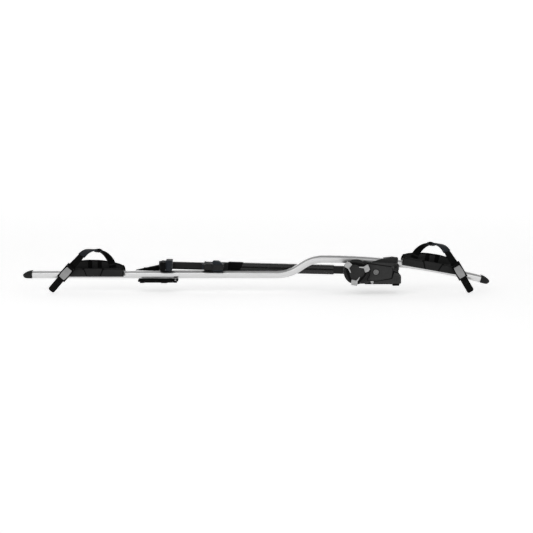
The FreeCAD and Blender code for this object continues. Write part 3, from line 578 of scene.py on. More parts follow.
def make_housing_trim():
    """Raised corners, end rib and grip ribs of the housing, and its two feet."""
    trim = bmesh.new()
    block(trim, (60.6, -92.6, 50.4), (66.4, -87, 56.6), 1.2)
    block(trim, (-24, -92.2, 63), (-19, -86, 70), 1.2)
    prism(trim, rounded([(86.5, 5), (90.2, 5), (90.2, 26), (86.5, 24)], 1), "y", -88, -60, 0.5)
    for index in range(3):
        block(trim, (68 + index * 5.2, -91.3, 8.5), (70 + index * 5.2, -89.8, 24), 0.5)
    piece("housing_trim", trim, "carrier", "housing_plastic")
    foot = bmesh.new()
    bar_foot = rounded([(66, -5.6), (85, -5.6), (87, -3), (87, 4), (65, 4), (65, -3)], 0.8)
    prism(foot, bar_foot, "y", -70, -62, 0.6, 0.6)
    prism(foot, rounded([(-9, 1.4), (1, 1.4), (2.6, 6), (-12, 6)], 1.4), "y", -91.6, -84, 0.8, 0.8)
    piece("housing_feet", foot, "carrier", "black_plastic")


def shade_frame(mesh, outline, outside, inside, low, high):
    """Closed frame between two offsets of an outline, drawn in black as painted shadow in a gap."""
    turns = ((outside, low), (outside, high), (inside, high), (inside, low), (outside, low))
    rings = [[spot("y", *point, depth) for point in grown(outline, offset)] for offset, depth in turns]
    loft(mesh, rings, caps=False)


def make_side_details():
    """Black strips painted as the shadow in the gap round the door and in the waist groove, and the small boss
    on the housing's near face.
    """
    lines = bmesh.new()
    # Painted shadow: a black frame fills the gap between the door and the housing.
    shade_frame(lines, door_outline(), 2.7, 1.9, -90, -86.4)
    # Painted shadow: a black strip on the face stands where the waist groove's shade falls.
    groove = rounded([(59.6, 18.6), (63, 18.6), (69.4, 38.4), (79.6, 34.8), (81.4, 37.6), (67, 43)], 0.8)
    prism(lines, groove, "y", -90.9, -89, low_edge=0.3)
    lathe(lines, [(-91.7, 2), (-91.7, 3.4), (-90, 3.4), (-90, 2)], (74.2, 55.4), steps=24)
    piece("housing_shade_strips_and_boss", lines, "carrier", "black_plastic")
    shoulder = bmesh.new()
    outline = rounded([(67, 61.4), (83.2, 63.4), (83.4, 46), (80.4, 41.6), (68.6, 44.6)], 1.6)
    prism(shoulder, outline, "y", -91.3, -89, low_edge=0.8)
    piece("housing_shoulder", shoulder, "carrier", "cap_plastic")


def make_door():
    """Door panel with its raised field, lock surround, finger tab and hinge rod."""
    panel = bmesh.new()
    prism(panel, door_outline(), "y", -92, -88.4, low_edge=1.2)
    field = rounded([(-1.5, 59.6), (58.6, 51.2), (61.2, 47), (58.8, 23.4), (17, 15.6), (-9, 17.2),
                     (-2.6, 27), (0, 40.6), (-2, 54)], [1.5, 6, 8, 5, 4, 2, 3, 3, 3])
    prism(panel, field, "y", -92.7, -91, low_edge=0.6)
    lathe(panel, [(-88.6, 5.2), (-88.6, 8), (-72, 8), (-72, 5.2)], LOCK)
    piece("door_panel", panel, "door", "housing_plastic", ["cover_door"])

    ring = bmesh.new()
    lathe(ring, [(-91.8, 5.25), (-93.6, 5.4), (-94, 6), (-94, 7.2), (-93.5, 8.2), (-92, 8.8)], LOCK)
    piece("lock_surround", ring, "door", "zinc_lock")
    # Painted shade: a black ring in the crease round the lock surround, and a black dot for the keyway.
    lock_shade = bmesh.new()
    lathe(lock_shade, [(-92.1, 8.6), (-93.2, 8.8), (-93.2, 10), (-92.1, 10.2)], LOCK)
    lathe(lock_shade, [(-93.1, 0.01), (-93.1, 1.6), (-91.9, 1.6), (-91.9, 0.01)], LOCK, steps=20)
    piece("lock_painted_shade", lock_shade, "door", "black_plastic")

    tab = bmesh.new()
    outline = rounded([(-4.4, 11.2), (6.4, 11.1), (5, 5), (3, 1.6), (0.8, 1.6), (-1.8, 5.4)], 1.2)
    prism(tab, outline, "y", -94.2, -91.4, low_edge=0.8)
    for index in range(3):
        block(tab, (-1.4 + index * 0.2, -94.7, 5.2 + index * 1.9), (4.2, -93.9, 5.8 + index * 1.9), 0.25)
    piece("door_tab", tab, "door", "grip_grey", ["cover_tab"])
    hinge = bmesh.new()
    start, end = Vector((-17.2, -90.2, 65.2)), Vector((60.9, -90.2, 54.2))
    turn = Vector((1, 0, 0)).rotation_difference(end - start).to_matrix().to_4x4()
    lathe(hinge, [(0.6, 0.01), (0.6, 1.7), (77.8, 1.7), (77.8, 0.01)], (0, 0), "x", 20)
    piece("door_knuckles", hinge, "door", "black_plastic", place=Matrix.Translation(start) @ turn)


def make_saddle():
    """Cover over the rail: a swept arch with a scooped left end and a notch near its right end."""
    section = rounded([(-26.2, -5), (-26.2, 8), (-19, 15.8), (16, 15.8), (26.2, 6), (26.2, -5)],
                      [0, 4, 6, 7, 5, 0], 6)
    inner = rounded([(20.7, -5), (20.7, 11.6), (-20.7, 11.6), (-20.7, -5)], [0, 6.3, 6.3, 0], 6)
    outline = section + inner
    mesh = bmesh.new()
    rings = []
    stations = [4 + 2 * step for step in range(35)] + [73, 74, 75, 76.5, 77.5, 78.5, 80, 82, 83.2, 84]
    for x in stations:
        place = on_front_arc(x)
        notch = 1.1 if 75.5 < x < 78 else 0
        end = 1.2 if x == 84 else (0.3 if x == 83.2 else 0)
        roof = 64.6 + 0.3 * min(x - 4, 28) + 0.14 * max(0, min(x - 32, 34)) - 0.09 * max(0, x - 66)
        lift = max(0, roof - (place @ Vector((0, 0, 15.8))).z)
        ring = []
        for index, (across, up) in enumerate(outline):
            outside = index < len(section)
            sunk = notch + end if outside else 0
            raised = lift * max(0, up - 4) / 12 if outside else 0
            lowered = sunk * 0.8 if up > 0 else 0
            corner = place @ Vector((0, across * (1 - sunk / 26), up + raised - lowered))
            corner.z = min(corner.z, roof)
            ring.append(corner)
        rings.append(ring)
    loft(mesh, rings)
    piece("saddle", mesh, "carrier", "housing_plastic", ["saddle_cover"])


def make_base():
    for node, edge in (("base_chassis", 0.5), ("rail_bolts", 0), ("cover_hinge_pin", 0), ("shaft_bush", 0.3),
                       ("arm_bushes", 0.3), ("front_t_bolts", 0.4), ("base_bar_pad", 0.8), ("lock_plug", 0.2),
                       ("lock_cam", 0.2), ("bar_knob_near", 0.8), ("bar_knob_far", 0.8)):
        dress(node, edge)
    make_housing()
    make_housing_trim()
    make_side_details()
    make_door()
    make_saddle()


# ---- knob

GRIP_ANGLES = (141, 21, -99)
HUB_CORNER = 124


def hub_outline(inset=0.0):
    """Rounded triangle with a corner beside each grip."""
    turns = [2 * math.pi * step / 96 for step in range(96)]
    corner = math.radians(HUB_CORNER)
    return [polar(turn, 22.8 - inset + 2.3 * math.cos(3 * (turn - corner))) for turn in turns]


def make_knob():
    dial = bmesh.new()
    profile = [(-106, 14.5), (-106.2, 20), (-106.2, 34.6), (-105.6, 36.4), (-104, 37.8), (-101.6, 38.5),
               (-96, 38.6), (-93.8, 38), (-92.8, 36.4), (-92.8, 4.1), (-96, 4.1), (-96, 14.5)]
    lathe(dial, profile, (0, 0), steps=96)
    for index in range(48):
        turn = 2 * math.pi * index / 48
        place = Matrix.Rotation(-turn, 4, "Y")
        block(dial, (37.9, -103.2, -0.55), (38.55, -95.4, 0.55), 0.25, place)
    piece("dial", dial, "knob", "knob_black", ["knob_dial"], KNOB)
    facets = bmesh.new()
    for angle in (81, -39, -159):
        turns = [math.radians(angle - 37 + 74 * step / 16) for step in range(17)]
        rim = [polar(turn, 37) for turn in turns]
        core = [polar(turn, 28.4 + 4 * abs(step - 8) / 8) for step, turn in enumerate(turns)]
        prism(facets, rim + core[::-1], "y", -107.8, -105.4, low_edge=0.9)
    piece("dial_facets", facets, "knob", "cap_plastic", (), KNOB)

    hub = bmesh.new()
    prism(hub, hub_outline(), "y", -116.8, -106, low_edge=3.4, steps=5)
    prism(hub, hub_outline(4.2), "y", -118, -116, low_edge=1.6, steps=4)
    piece("hub", hub, "knob", "knob_grey", ["knob_hub"], KNOB)

    make_grips()
    for node in ("clutch_plate", "clutch_springs", "drive_shaft", "drive_pinion"):
        dress(node, 0)


def make_grips():
    """Three light grips: a ribbed face, a rim over the dial and a tail beside the hub."""
    grips = bmesh.new()
    for angle in GRIP_ANGLES:
        place = Matrix.Rotation(-math.radians(angle), 4, "Y")
        fresh = bmesh.new()
        face = rounded([(24.8, -10.6), (25.2, 7.4), (38.4, 9.4), (41.2, 5), (41.4, -5.4), (36, -10.6)],
                       [2, 1, 1.5, 2, 2, 1.5])
        prism(fresh, face, "y", -114.4, -105.6, low_edge=1.4)
        rim = rounded([(38.8, -9), (42, -8.6), (42, 8.6), (38.8, 9)], 1)
        prism(fresh, rim, "y", -107, -96, high_edge=0.8)
        tail = rounded([(26.4, 3.4), (27.6, 7.4), (13.6, 13.2), (12.6, 11)], [0.4, 0.4, 0.9, 0.9])
        prism(fresh, tail, "y", -117.6, -105.8, low_edge=0.7)
        for index in range(4):
            block(fresh, (28.4 + index * 2.9, -114.9, -7), (29.4 + index * 2.9, -113.9, 5.4), 0.35)
        data = bpy.data.meshes.new("grip")
        fresh.transform(place)
        fresh.to_mesh(data)
        fresh.free()
        grips.from_mesh(data)
        bpy.data.meshes.remove(data)
    piece("grips", grips, "knob", "grip_grey", ["knob_grips"], KNOB)


# ---- folding arm

ARM_DROP = -8.6  # height of the tubes' axis above the pivot


def lobed(half):
    """Section of the outer tube: two soft lobes, one above the other."""
    neck = half - 2.8
    right = [(half - 3.6, -half), (half, 4.6 - half), (half, -1), (neck, -0.2), (neck, 0.6), (half, 4.2),
             (half, half)]
    left = [(-y, z) for y, z in reversed(right)]
    radii = [2, 2.5, 1.5, 0.4, 0.4, 2.5, 6.5]
    return rounded(right + left, radii + radii[::-1], 5)


def ring_at(x, outline, scale=1.0):
    """Ring of an outline given across and up, about the arm's own axis."""
    return [Vector((x, p.x * scale, p.y * scale + ARM_DROP)) for p in outline]


def tube(mesh, outline, x_from, x_to):
    """Straight solid of an outline, with softened ends."""
    small = 1 - 0.6 / max(abs(p.x) for p in outline)
    ends = ((x_from, small), (x_from + 0.6, 1), (x_to - 0.6, 1), (x_to, small))
    loft(mesh, [ring_at(x, outline, scale) for x, scale in ends])


def square(half, corner):
    return rounded([(-half, -half), (half, -half), (half, half), (-half, half)], corner, 6)


def make_arm():
    outer = bmesh.new()
    tube(outer, lobed(14.5), -397, -64)
    piece("outer_tube", outer, "arm", "tube_black", ["arm_tube_outer"], ARM)

    collar = bmesh.new()
    rings = []
    for step in range(13):
        ring = ring_at(-395.5 + 47.5 * step / 12, square(15.7, 5), 0.965 if step in (0, 12) else 1)
        for point, p in zip(ring, square(15.7, 5)):
            mouth = -348 - (15.7 - p.y) * 0.42
            point.x = min(point.x, mouth) if step < 12 else mouth
        rings.append(ring)
    loft(collar, rings)
    piece("collar", collar, "arm", "black_plastic", ["arm_collar"], ARM)

    inner = bmesh.new()
    tube(inner, square(11.3, 4.2), -602, -232)
    piece("inner_tube", inner, "jaw", "black_steel", ["arm_tube_inner"], ARM)
    for node, edge in (("arm_root", 1.2), ("arm_hub_cap", 1.5), ("collar_screw", 0.5), ("drive_screw", 0),
                       ("screw_gear", 0.3), ("drive_nut", 0.5), ("upper_jaw_screw", 0.5)):
        dress(node, edge)
    make_lower_jaw()
    make_upper_jaw()
    make_jaw_pads()


def make_lower_jaw():
    """Sleeve with a flared mouth, the claw reaching over the rail and the rubber ears that grip the frame."""
    solid = bmesh.new()
    sleeve = ((-470, 11.9), (-470, 14.4), (-468.6, 14.9), (-466.4, 14.7), (-465, 13.9), (-398, 13.65),
              (-396.5, 13.2), (-396.5, 11.9), (-470, 11.9))
    loft(solid, [ring_at(x, square(half, 4.4)) for x, half in sleeve], caps=False)
    claw = rounded([(-470, -12.6), (-470, -83), (-462, -87), (-446, -84), (-412, -42), (-402, -12.6)],
                   [0, 4, 5, 8, 10, 6], 6)
    prism(solid, claw, "z", -12, 5, 2.4, 2.8)
    block(solid, (-443.6, -78, -12.4), (-409.2, -46, 5.2), 2)
    for low, high in ((-76, -60), (-56, -40), (-36, -20)):
        block(solid, (-466, low, 4.4), (-450, high, 5.9), 1)
    for index in range(4):
        block(solid, (-458 + index * 15, -14.4, -9.4), (-450 + index * 15, -13.2, -7.6), 0.5)
    piece("lower_claw", solid, "arm", "cap_plastic", ["lower_jaw"], ARM)

    ears = bmesh.new()
    hump = rounded([(-443, -16.3), (-443, 13), (-440, 15.5), (-424, 15.2), (-414, 9), (-409.6, 4.6),
                    (-409.6, -12), (-413, -16.3)], [1.2, 3, 3, 5, 4, 2, 2, 1.2])
    prism(ears, hump, "y", -77, -46, 2.2, 2.2)
    root = rounded([(-441, -15.4), (-441, 12), (-424, 13), (-412, 7), (-412, -15.4)], 2)
    prism(ears, root, "y", -48, -30, 1, 1.6)
    made = piece("ears", ears, "arm", "pad_rubber", (), ARM)


def make_upper_jaw():
    """Head block on the inner tube, its ribbed claw, and the slotted tail."""
    head = bmesh.new()
    side = rounded([(-611, -22.2), (-611, -2), (-605, 5), (-576, 5), (-576, -22.2)], [2, 6, 5, 2, 2])
    prism(head, side, "y", -14, 14, 2, 2)
    claw = rounded([(-606, -13), (-606, -80), (-600, -87), (-587.5, -87), (-587.5, -13)], [0, 6, 5, 0, 0], 6)
    prism(head, claw, "z", -18.4, 7, 2.6, 3)
    web = rounded([(-611, -13), (-611, -30), (-603, -62), (-600, -62), (-600, -13)], [0, 4, 3, 0, 0])
    prism(head, web, "z", -10, 6, 1.4, 1.4)
    for low, high in ((-80, -62), (-58, -40), (-36, -20)):
        block(head, (-603.6, low, 6.4), (-590, high, 7.9), 1)
    tube(head, square(13.2, 4.6), -578, -571)
    piece("upper_head", head, "jaw", "black_plastic", ["upper_jaw"], ARM)

    tail = bmesh.new()
    upper = rounded([(-611, -8), (-611, -17), (-640, -19.6), (-684, -28.6), (-685, -26.6), (-683, -25.6)],
                    [0.4, 0.4, 1, 0.6, 0.8, 0.8])
    lower = rounded([(-611, -15), (-611, -26), (-640, -28), (-683, -29), (-684, -27.6), (-668, -26.9),
                     (-640, -20.8)], [0.4, 1, 4, 0.6, 0.6, 2, 2])
    for outline in (upper, lower):
        prism(tail, outline, "y", -13, 13, 0.8, 0.8)
    for y in (-9, 0, 9):
        block(tail, (-660, y - 0.8, -27.6), (-616, y + 0.8, -18), 0.3)
    piece("jaw_tail_blade", tail, "jaw", "black_plastic", ["jaw_tail"], ARM)


def ribbed(x_back, x_face, low, high, ribs):
    """Side view of a jaw pad: flat back, ribbed face."""
    points = [(x_back, low), (x_back, high)]
    step = (high - low) / ribs
    depth = 0.9 if x_face > x_back else -0.9
    for index in range(ribs):
        top = high - index * step
        points += [(x_face - depth, top), (x_face, top - step * 0.25), (x_face, top - step * 0.7),
                   (x_face - depth, top - step)]
    return [p for index, p in enumerate(points) if p != points[index - 1]]


def make_jaw_pads():
    """Rubber pads on the two jaws' facing sides."""
    upper = bmesh.new()
    prism(upper, ribbed(-587.5, -568, -18.4, 13.4, 6), "y", -82, -17, 2.4, 1.6)
    made = piece("upper_pad", upper, "jaw", "pad_rubber", ["upper_jaw_pad"], ARM)
    lower = bmesh.new()
    prism(lower, ribbed(-470.2, -475, -11.5, 4.5, 4), "y", -82, -17, 0.8, 0.8)
    made = piece("lower_pad", lower, "arm", "pad_rubber", ["lower_jaw_pad"], ARM)


# ---- rear bar bracket

def make_rear_bracket():
    """Bracket under the rail with a hooked lip, ribs along its side and the swing lever in front."""
    for node, edge in (("rear_slider", 0.4), ("rear_t_bolt", 0.4), ("rear_bar_pads", 0.8),
                       ("rear_lever_pin", 0.4)):
        dress(node, edge)
    body = bmesh.new()
    side = rounded([
        (-717, 11.6), (-606, 11.6), (-598, 8), (-598, 3), (-602, 1), (-616, 1), (-620, 3), (-706, 3),
        (-711, 0.6), (-722, 0.6), (-723.4, 4), (-722, 8.6),
    ], [3, 3, 3, 3, 2, 2, 3, 3, 2, 2, 2, 4])
    prism(body, side, "y", -15, 20, 1.2, 1.2)
    block(body, (-612, -29, 8.6), (-599, -19, 11.6), 1)
    for x in (-694, -676, -658, -626):
        block(body, (x - 1.2, -15.9, 6.4), (x + 1.2, -14.6, 10.9), 0.5)
    piece("bracket", body, "rear_foot", "black_plastic", ["rear_bracket"])

    lever = bmesh.new()
    arm = rounded([(-717, 0.2), (-714, 5.6), (-608, 5.6), (-608, -0.4), (-700, -0.4), (-706, -1.8),
                   (-714, -1.8)], [2, 3, 3, 2, 3, 2, 2])
    prism(lever, arm, "y", -27.4, -22.6, 0.9, 0.9)
    hub = [(-0.6, 2.6), (-0.6, 4.6), (0, 5.2), (5.2, 5.2), (5.8, 4.6), (5.8, 2.6)]
    lathe(lever, hub, (-606, -25), "z", 32)
    prism(lever, rounded([(-688, 1), (-688, 4.2), (-634, 4.2), (-634, 1)], 1.2), "y", -28.3, -27.2, 0.4)
    piece("swing_lever", lever, "rear_lever", "black_plastic", ["rear_clamp_lever"])
    ring = bmesh.new()
    lathe(ring, [(-28.6, 1.6), (-28.6, 2.6), (-27, 2.6), (-27, 1.6)], (-606.4, 2.6), "y", 28)
    lathe(ring, [(-28.4, 0.01), (-28.4, 0.9), (-27, 0.9), (-27, 0.01)], (-614, 1.6), "y", 16)
    piece("lever_rivets", ring, "rear_lever", "steel")


# ---- straps

STRAP_ROUTE = [
    (66, 22, 20.8), (62, 22, 36), (52, 19.5, 53), (38, 13.5, 67), (20, 4, 74.6), (0, -8, 76.2),
    (-14, -20, 72), (-26.6, -30, 61), (-40.4, -37.6, 45.1), (-56, -41, 28.3), (-74, -42, 8.3),
    (-98.7, -42, -20.4), (-122, -42, -47.6),
]
WHEEL = Vector((0, -6, 25))
STRAP_WIDTH = 22


def strap_frames(side, fine=8):
    """Points on the smoothed strap route, each with its run, width and thickness directions and length."""
    route = [Vector((side * x, y, w)) for x, y, w in STRAP_ROUTE]
    ends = [route[0] * 2 - route[1]] + route + [route[-1] * 2 - route[-2]]
    points = []
    for index in range(1, len(ends) - 2):
        p0, p1, p2, p3 = ends[index - 1:index + 3]
        for step in range(fine):
            t = step / fine
            points.append(0.5 * (2 * p1 + (p2 - p0) * t + (2 * p0 - 5 * p1 + 4 * p2 - p3) * t ** 2
                                 + (3 * p1 - p0 - 3 * p2 + p3) * t ** 3))
    points.append(route[-1])
    frames = []
    length = 0
    for index, point in enumerate(points):
        before, after = points[max(index - 1, 0)], points[min(index + 1, len(points) - 1)]
        run = (after - before).normalized()
        outward = Vector((0, point.y - WHEEL.y, max(0, point.z - WHEEL.z)))
        thick = (outward - run * outward.dot(run)).normalized()
        if index:
            length += (point - points[index - 1]).length
        frames.append((point, run, run.cross(thick).normalized(), thick, length))
    return frames


def band(mesh, frames, width, thick, lift=0.0, edge=0.7, swell=0.0, halves=None):
    """Flat band with rounded selvedges along the frames; UV holds millimetres along and across."""
    half, deep = width / 2, thick / 2
    outline = rounded([(-half, -deep), (half, -deep), (half, deep), (-half, deep)], edge, 3)
    rings = []
    for index, (point, _, across, normal, _) in enumerate(frames):
        t = index / (len(frames) - 1)
        full = 1 + swell * math.sin(math.pi * t) ** 0.5 if swell else 1
        narrow = halves[index] / half if halves else 1
        rings.append([point + across * (p[0] * narrow) + normal * (p[1] * full + lift) for p in outline])
    rows = loft(mesh, rings)
    layer = mesh.loops.layers.uv.verify()
    for row, found in zip(rows, frames):
        for vertex, p in zip(row, outline):
            for loop in vertex.link_loops:
                loop[layer].uv = (found[4], p.x)


def stitches(mesh, found, lift):
    """A row of eight raised threads across a strap."""
    point, run, across, normal = found[:4]
    for index in range(8):
        t = -9 + 18 * index / 7
        turn = Matrix((run, across, normal)).transposed().to_4x4()
        place = Matrix.Translation(point + across * t + normal * lift) @ turn
        block(mesh, (-0.35, -1, -0.3), (0.35, 1, 0.35), 0.25, place)


def rounded_tail(frames, width):
    """Half-widths that close the end of a strap in an arc."""
    total = frames[-1][4]
    reach, depth = 7, 5.5
    halves = []
    for found in frames:
        left = max(0, reach - (total - found[4])) / reach
        halves.append(width / 2 - depth * (1 - math.sqrt(max(0, 1 - left ** 2))))
    return halves


def finer_end(frames, count=8):
    """The strap's frames with extra ones in the last step, so that its end can be rounded."""
    first, last = frames[-3], frames[-1]
    extra = []
    for step in range(1, count + 1):
        t = step / count
        length = first[4] + (last[4] - first[4]) * t
        extra.append((first[0].lerp(last[0], t), *last[1:4], length))
    return frames[:-2] + extra


def make_strap(name, side, place):
    frames = strap_frames(side)
    body = f"{name}_tray"
    whole = finer_end(frames)
    webbing = bmesh.new()
    band(webbing, whole, STRAP_WIDTH, 2, halves=rounded_tail(whole, STRAP_WIDTH))
    fold = whole[-16:]
    band(webbing, fold, 21.6, 1.6, lift=1.75, halves=rounded_tail(fold, 21.6))
    band(webbing, frames[:6], STRAP_WIDTH, 1.6, lift=-1.75)
    piece(f"strap_{name}", webbing, body, "webbing", [f"tray_strap_{name}"], place, SOFT_TURN)

    thread = bmesh.new()
    for found in (whole[-15], whole[-14]):
        stitches(thread, found, 2.65)
    for found in (frames[4], frames[5]):
        stitches(thread, found, -2.65)
    piece(f"stitching_{name}", thread, body, "cap_plastic", (), place)

    sleeve = bmesh.new()
    band(sleeve, frames[28:57], 26.4, 5.6, edge=2, swell=0.16)
    made = piece(f"pad_{name}", sleeve, body, "pad_rubber", [f"strap_pad_{name}"], place, SOFT_TURN)

    keeper = bmesh.new()
    band(keeper, frames[30:35], 28.4, 7.8, edge=1.8)
    band(keeper, frames[31:34], 29.4, 9, edge=1.8)
    piece(f"keeper_{name}", keeper, body, "black_plastic", (), place)
    anchor = bmesh.new()
    middle = side * 66
    block(anchor, (middle - 13, 18, 14.3), (middle + 13, 23.4, 17.9), 1)
    lathe(anchor, [(19.4, 0.1), (17.4, 0.1), (16.9, 3), (17.6, 3.6), (19.4, 3.6)], (middle, 16), "y", 24)
    piece(f"anchor_{name}", anchor, body, "black_plastic", [f"strap_anchor_{name}"], place)


def buckle_place(side):
    """Local frame of a buckle: X down the strap, Y towards the rail, Z across the strap."""
    before, point, after = [Vector((side * x, y, w)) for x, y, w in STRAP_ROUTE[9:12]]
    run = after - before
    run.y = 0
    run.normalize()
    across = run.cross(Vector((0, 1, 0))).normalized()
    turn = Matrix((run, Vector((0, 1, 0)), across)).transposed().to_4x4()
    return Matrix.Translation(point) @ turn


def make_buckle(name, side, tray):
    """Ribbed tub on the tray and the lever that swings on its pin."""
    place = tray @ buckle_place(side)
    tub = bmesh.new()
    cheek = rounded([(-30, -1.6), (-30, -8), (-27.6, -10.2), (-21, -10.2), (-17, -7.6), (18, -7.2),
                     (24.6, -5), (25.6, -1.6)], 1.4)
    for low, high in ((-15, -11.6), (11.6, 15)):
        prism(tub, cheek, "z", low, high, 0.7, 0.7)
    block(tub, (-30, -3.4, -14), (25, -1.6, 14), 0.6)
    block(tub, (20.8, -4.8, -14), (23.4, -1.8, 14), 0.7)
    for index in range(6):
        block(tub, (-16 + index * 5, -4.6, -9), (-14.4 + index * 5, -3.2, 9), 0.4)
    piece(f"buckle_body_{name}", tub, f"{name}_tray", "black_plastic", [f"buckle_frame_{name}"], place)
    dress(f"buckle_pin_{name}", 0.3)

    lever = bmesh.new()
    rings = []
    count = 28
    for step in range(count + 1):
        t = step / count
        x = -17.8 + 38.2 * t
        barrel = 11.3 - 1.7 * (2 * t - 1) ** 2
        outer = -10.4 + 2.8 * t ** 3 - 0.7 * math.sin(math.pi * t)
        inner = outer + 2.4 + 0.6 * (1 - t)
        if step in (0, count):
            outer, inner, barrel = outer + 0.7, inner - 0.5, barrel - 0.7
        outline = rounded([(-barrel, inner), (-barrel, outer + 0.9), (0, outer - 0.6), (barrel, outer + 0.9),
                           (barrel, inner)], [0.3, 1.4, 8, 1.4, 0.3], 4)
        rings.append([Vector((x, p[1], p[0])) for p in outline])
    loft(lever, rings)
    block(lever, (-20.5, -9.4, -9.6), (-16, -7.4, 9.6), 0.6)
    piece(f"buckle_plate_{name}", lever, f"{name}_buckle", "lever_grey", [f"buckle_lever_{name}"], place)
    head = bmesh.new()
    barrel = [(-11.2, 1.65), (-11.2, 4), (-10.8, 4.4), (10.8, 4.4), (11.2, 4), (11.2, 1.65)]
    lathe(head, barrel, (-25.5, -6.6), "z", 32)
    block(head, (-26, -11.2, -11.2), (-18.2, -7.2, 11.2), 1)
    piece(f"buckle_head_{name}", head, f"{name}_buckle", "black_plastic", (), place)


# ---- wheel trays

ARCH = [(-86, 20), (-72, 29), (-60, 38), (-12, 42.5), (30, 41.5), (68, 35.5), (96, 27.5), (103.5, 20)]
TRAY_SIDE = -33


def arch_height(x):
    """Height of the far wall's rim at a place along the tray."""
    x = min(max(x, ARCH[0][0]), ARCH[-1][0])
    for (x0, z0), (x1, z1) in zip(ARCH, ARCH[1:]):
        if x <= x1:
            return z0 + (z1 - z0) * (x - x0) / (x1 - x0)


def softened(x):
    """The rim's height with its corners eased."""
    return sum(arch_height(x + step) for step in (-9, -6, -3, 0, 3, 6, 9)) / 7


def under_rim(low, high):
    """Outline of a raised panel inside the far wall, 3.4 mm under its rim."""
    places = [high - (high - low) * step / 8 for step in range(9)]
    return [(low, 15.5), (high, 15.5)] + [(x, softened(x) - 3.4) for x in places]


def tray_section(x):
    """Closed section of a tray at a place along it, as (across, up)."""
    end = max(0, (x - 99) / 4, (-80 - x) / 4)
    near = 21.7 - end * 1.5
    far = softened(x) - end * 1.2
    sharp = [
        (TRAY_SIDE, -4.4), (TRAY_SIDE, near), (-30, near), (-26, 14.1), (24, 14.1), (27.5, 21),
        (27.5, far), (33, far), (33, -4.4), (30.5, -4.4), (30.5, 8.9), (23.4, 8.9), (23.4, -4.4),
        (20.5, -4.4), (20.5, 11.5), (-20.5, 11.5), (-20.5, -4.4), (-23.4, -4.4), (-23.4, 8.9),
        (-30.5, 8.9), (-30.5, -4.4),
    ]
    radii = [0.8, 1.4, 1.2, 2.5, 2.5, 3, 2.4, 2.4] + [0.6] * 13
    return rounded(sharp, radii, 4)


def make_tray(name, side, tray):
    """Tray shell with panels on both walls in a lighter plastic as painted light, painted highlight strips
    along the near rim, ribs in its floor, a rolled rim and an end hook.
    """
    place = tray @ Matrix.Scale(side, 4, (1, 0, 0))
    body = f"{name}_tray"
    shell = bmesh.new()
    stations = [-84, -83.2] + [-81 + 4 * step for step in range(46)] + [101.4, 102.2, 103]
    loft(shell, [[Vector((x, p[0], p[1])) for p in tray_section(x)] for x in stations])
    piece(f"tray_{name}", shell, body, "black_plastic", [f"wheel_tray_{name}"], place)

    # Painted light: the panels on both walls belong to the shell's moulding but take the lighter cap plastic,
    # lit against the shaded recesses round them.
    field = bmesh.new()
    panels = [
        [(-82.4, -3.6), (-12, -3.6), (-21, 17.4), (-82.4, 17.4)],
        [(-8.4, -3.6), (28.6, -3.6), (37.8, 20.6), (-18.4, 20.6)],
        [(32.4, -3.6), (101.4, -3.6), (101.4, 17.4), (41.4, 17.4)],
    ]
    for panel in panels:
        prism(field, rounded(panel, 1.2), "y", TRAY_SIDE - 1.5, TRAY_SIDE + 0.5, low_edge=0.6)
    # Painted highlight: lighter strips along the near wall's top stand for the light its edge catches.
    for low, high in ((-82, -24), (44, 98)):
        block(field, (low, TRAY_SIDE - 1.1, 18.7), (high, TRAY_SIDE + 0.6, 21.3), 0.7)
    # Painted light as well: lighter panels inside the far wall.
    for low, high in ((-62, -11.5), (1.5, 18.5), (31.5, 99)):
        prism(field, under_rim(low, high), "y", 25.4, 28.2, low_edge=0.7)
    piece(f"tray_painted_light_panels_{name}", field, body, "cap_plastic", (), place)

    detail = bmesh.new()
    for x in range(-76, 97, 12):
        block(detail, (x - 1, -24, 13.6), (x + 1, 22, 15.1), 0.5)
    rim = []
    for step in range(48):
        x = -83 + 185 * step / 47
        low, top = softened(x) - 3.4, softened(x) + 0.6
        outline = rounded([(25.4, low), (25.4, top), (34.2, top), (34.2, low)], 1.9, 3)
        rim.append([Vector((x, p[0], p[1])) for p in outline])
    loft(detail, rim)
    hook = rounded([(96, 27), (100.6, 25.4), (104.6, 17), (105.6, 7), (102, 7), (100, 17)], 1.6)
    prism(detail, hook, "y", 26.4, 33.4, 1.2, 1.2)
    piece(f"tray_detail_{name}", detail, body, "black_plastic", (), place)


def make_trays():
    for name, side, tray in (("rear", 1, REAR_TRAY), ("front", -1, FRONT_TRAY)):
        make_tray(name, side, tray)
        make_strap(name, side, tray)
        make_buckle(name, side, tray)


# ---- studio

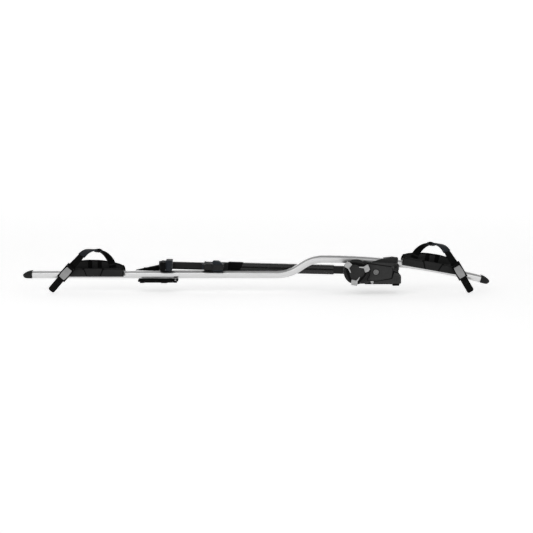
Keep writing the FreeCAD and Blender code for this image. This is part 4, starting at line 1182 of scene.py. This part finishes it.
def make_floor():
    """Pale floor that curves up far behind the object."""
    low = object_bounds()[0][2]
    mesh = bmesh.new()
    far, back, radius = 9.0, 8.0, 1.2
    profile = [(-far, low), (back, low)]
    for step in range(1, 13):
        turn = math.pi / 2 * step / 12
        profile.append((back + radius * math.sin(turn), low + radius * (1 - math.cos(turn))))
    profile.append((back + radius, low + 6))
    loft(mesh, [[Vector((x, y, z)) for y, z in profile] for x in (-8, 8)], caps=False, around=False)
    data = bpy.data.meshes.new("floor")
    mesh.to_mesh(data)
    mesh.free()
    data.shade_smooth()
    kit = Nodes("floor")
    kit.put("Base Color", kit.mix(kit.noise(1.5), (0.86, 0.86, 0.86), (0.9, 0.9, 0.9)))
    kit.put("Roughness", 0.85)
    kit.put("Specular IOR Level", 0.1)
    kit.put("Emission Color", (1, 1, 1, 1))
    kit.put("Emission Strength", 0.52)
    data.materials.append(kit.material)
    floor = linked("floor", data)


def aim(holder, place, target):
    """Puts a lamp or camera at a place, looking at a target."""
    holder.location = place
    holder.rotation_euler = (Vector(target) - Vector(place)).to_track_quat("-Z", "Y").to_euler()


def make_light(name, place, target, size, power):
    lamp = bpy.data.lights.new(name, "AREA")
    lamp.shape = "RECTANGLE"
    lamp.size, lamp.size_y = size
    lamp.energy = power
    aim(linked(name, lamp), place, target)


def make_studio():
    """White surroundings that darken overhead, with two weak lamps for the highlights."""
    make_floor()
    bpy.context.scene.view_settings.view_transform = "Standard"
    world = bpy.data.worlds.new("studio")
    world.use_nodes = True
    tree = world.node_tree
    direction = tree.nodes.new("ShaderNodeTexCoord").outputs["Generated"]
    height = tree.nodes.new("ShaderNodeSeparateXYZ")
    tree.links.new(direction, height.inputs[0])
    background = tree.nodes["Background"]
    tree.links.new(map_range(tree, height.outputs["Z"], 0.08, 0.6, 1.0, 0.34), background.inputs["Color"])
    background.inputs["Strength"].default_value = 1.0
    bpy.context.scene.world = world
    centre = (-0.33, 0, 0.04)
    make_light("key", (-1.6, -2.6, 1.6), centre, (2.6, 1.0), 12)
    make_light("fill", (2.0, -3.2, 0.9), centre, (2.4, 1.0), 6)


def make_camera():
    lens = bpy.data.cameras.new("camera")
    lens.lens = 130
    lens.sensor_width = 36
    lens.clip_end = 60
    camera = linked("camera", lens)
    tilt = math.radians(5.5)
    target = Vector((-0.323, 0, 0.0475))
    away = 6.0
    aim(camera, target + Vector((0, -math.cos(tilt), math.sin(tilt))) * away, target)
    bpy.context.scene.camera = camera


make_rail()
make_base()
make_knob()
make_arm()
make_rear_bracket()
make_trays()
make_studio()
make_camera()
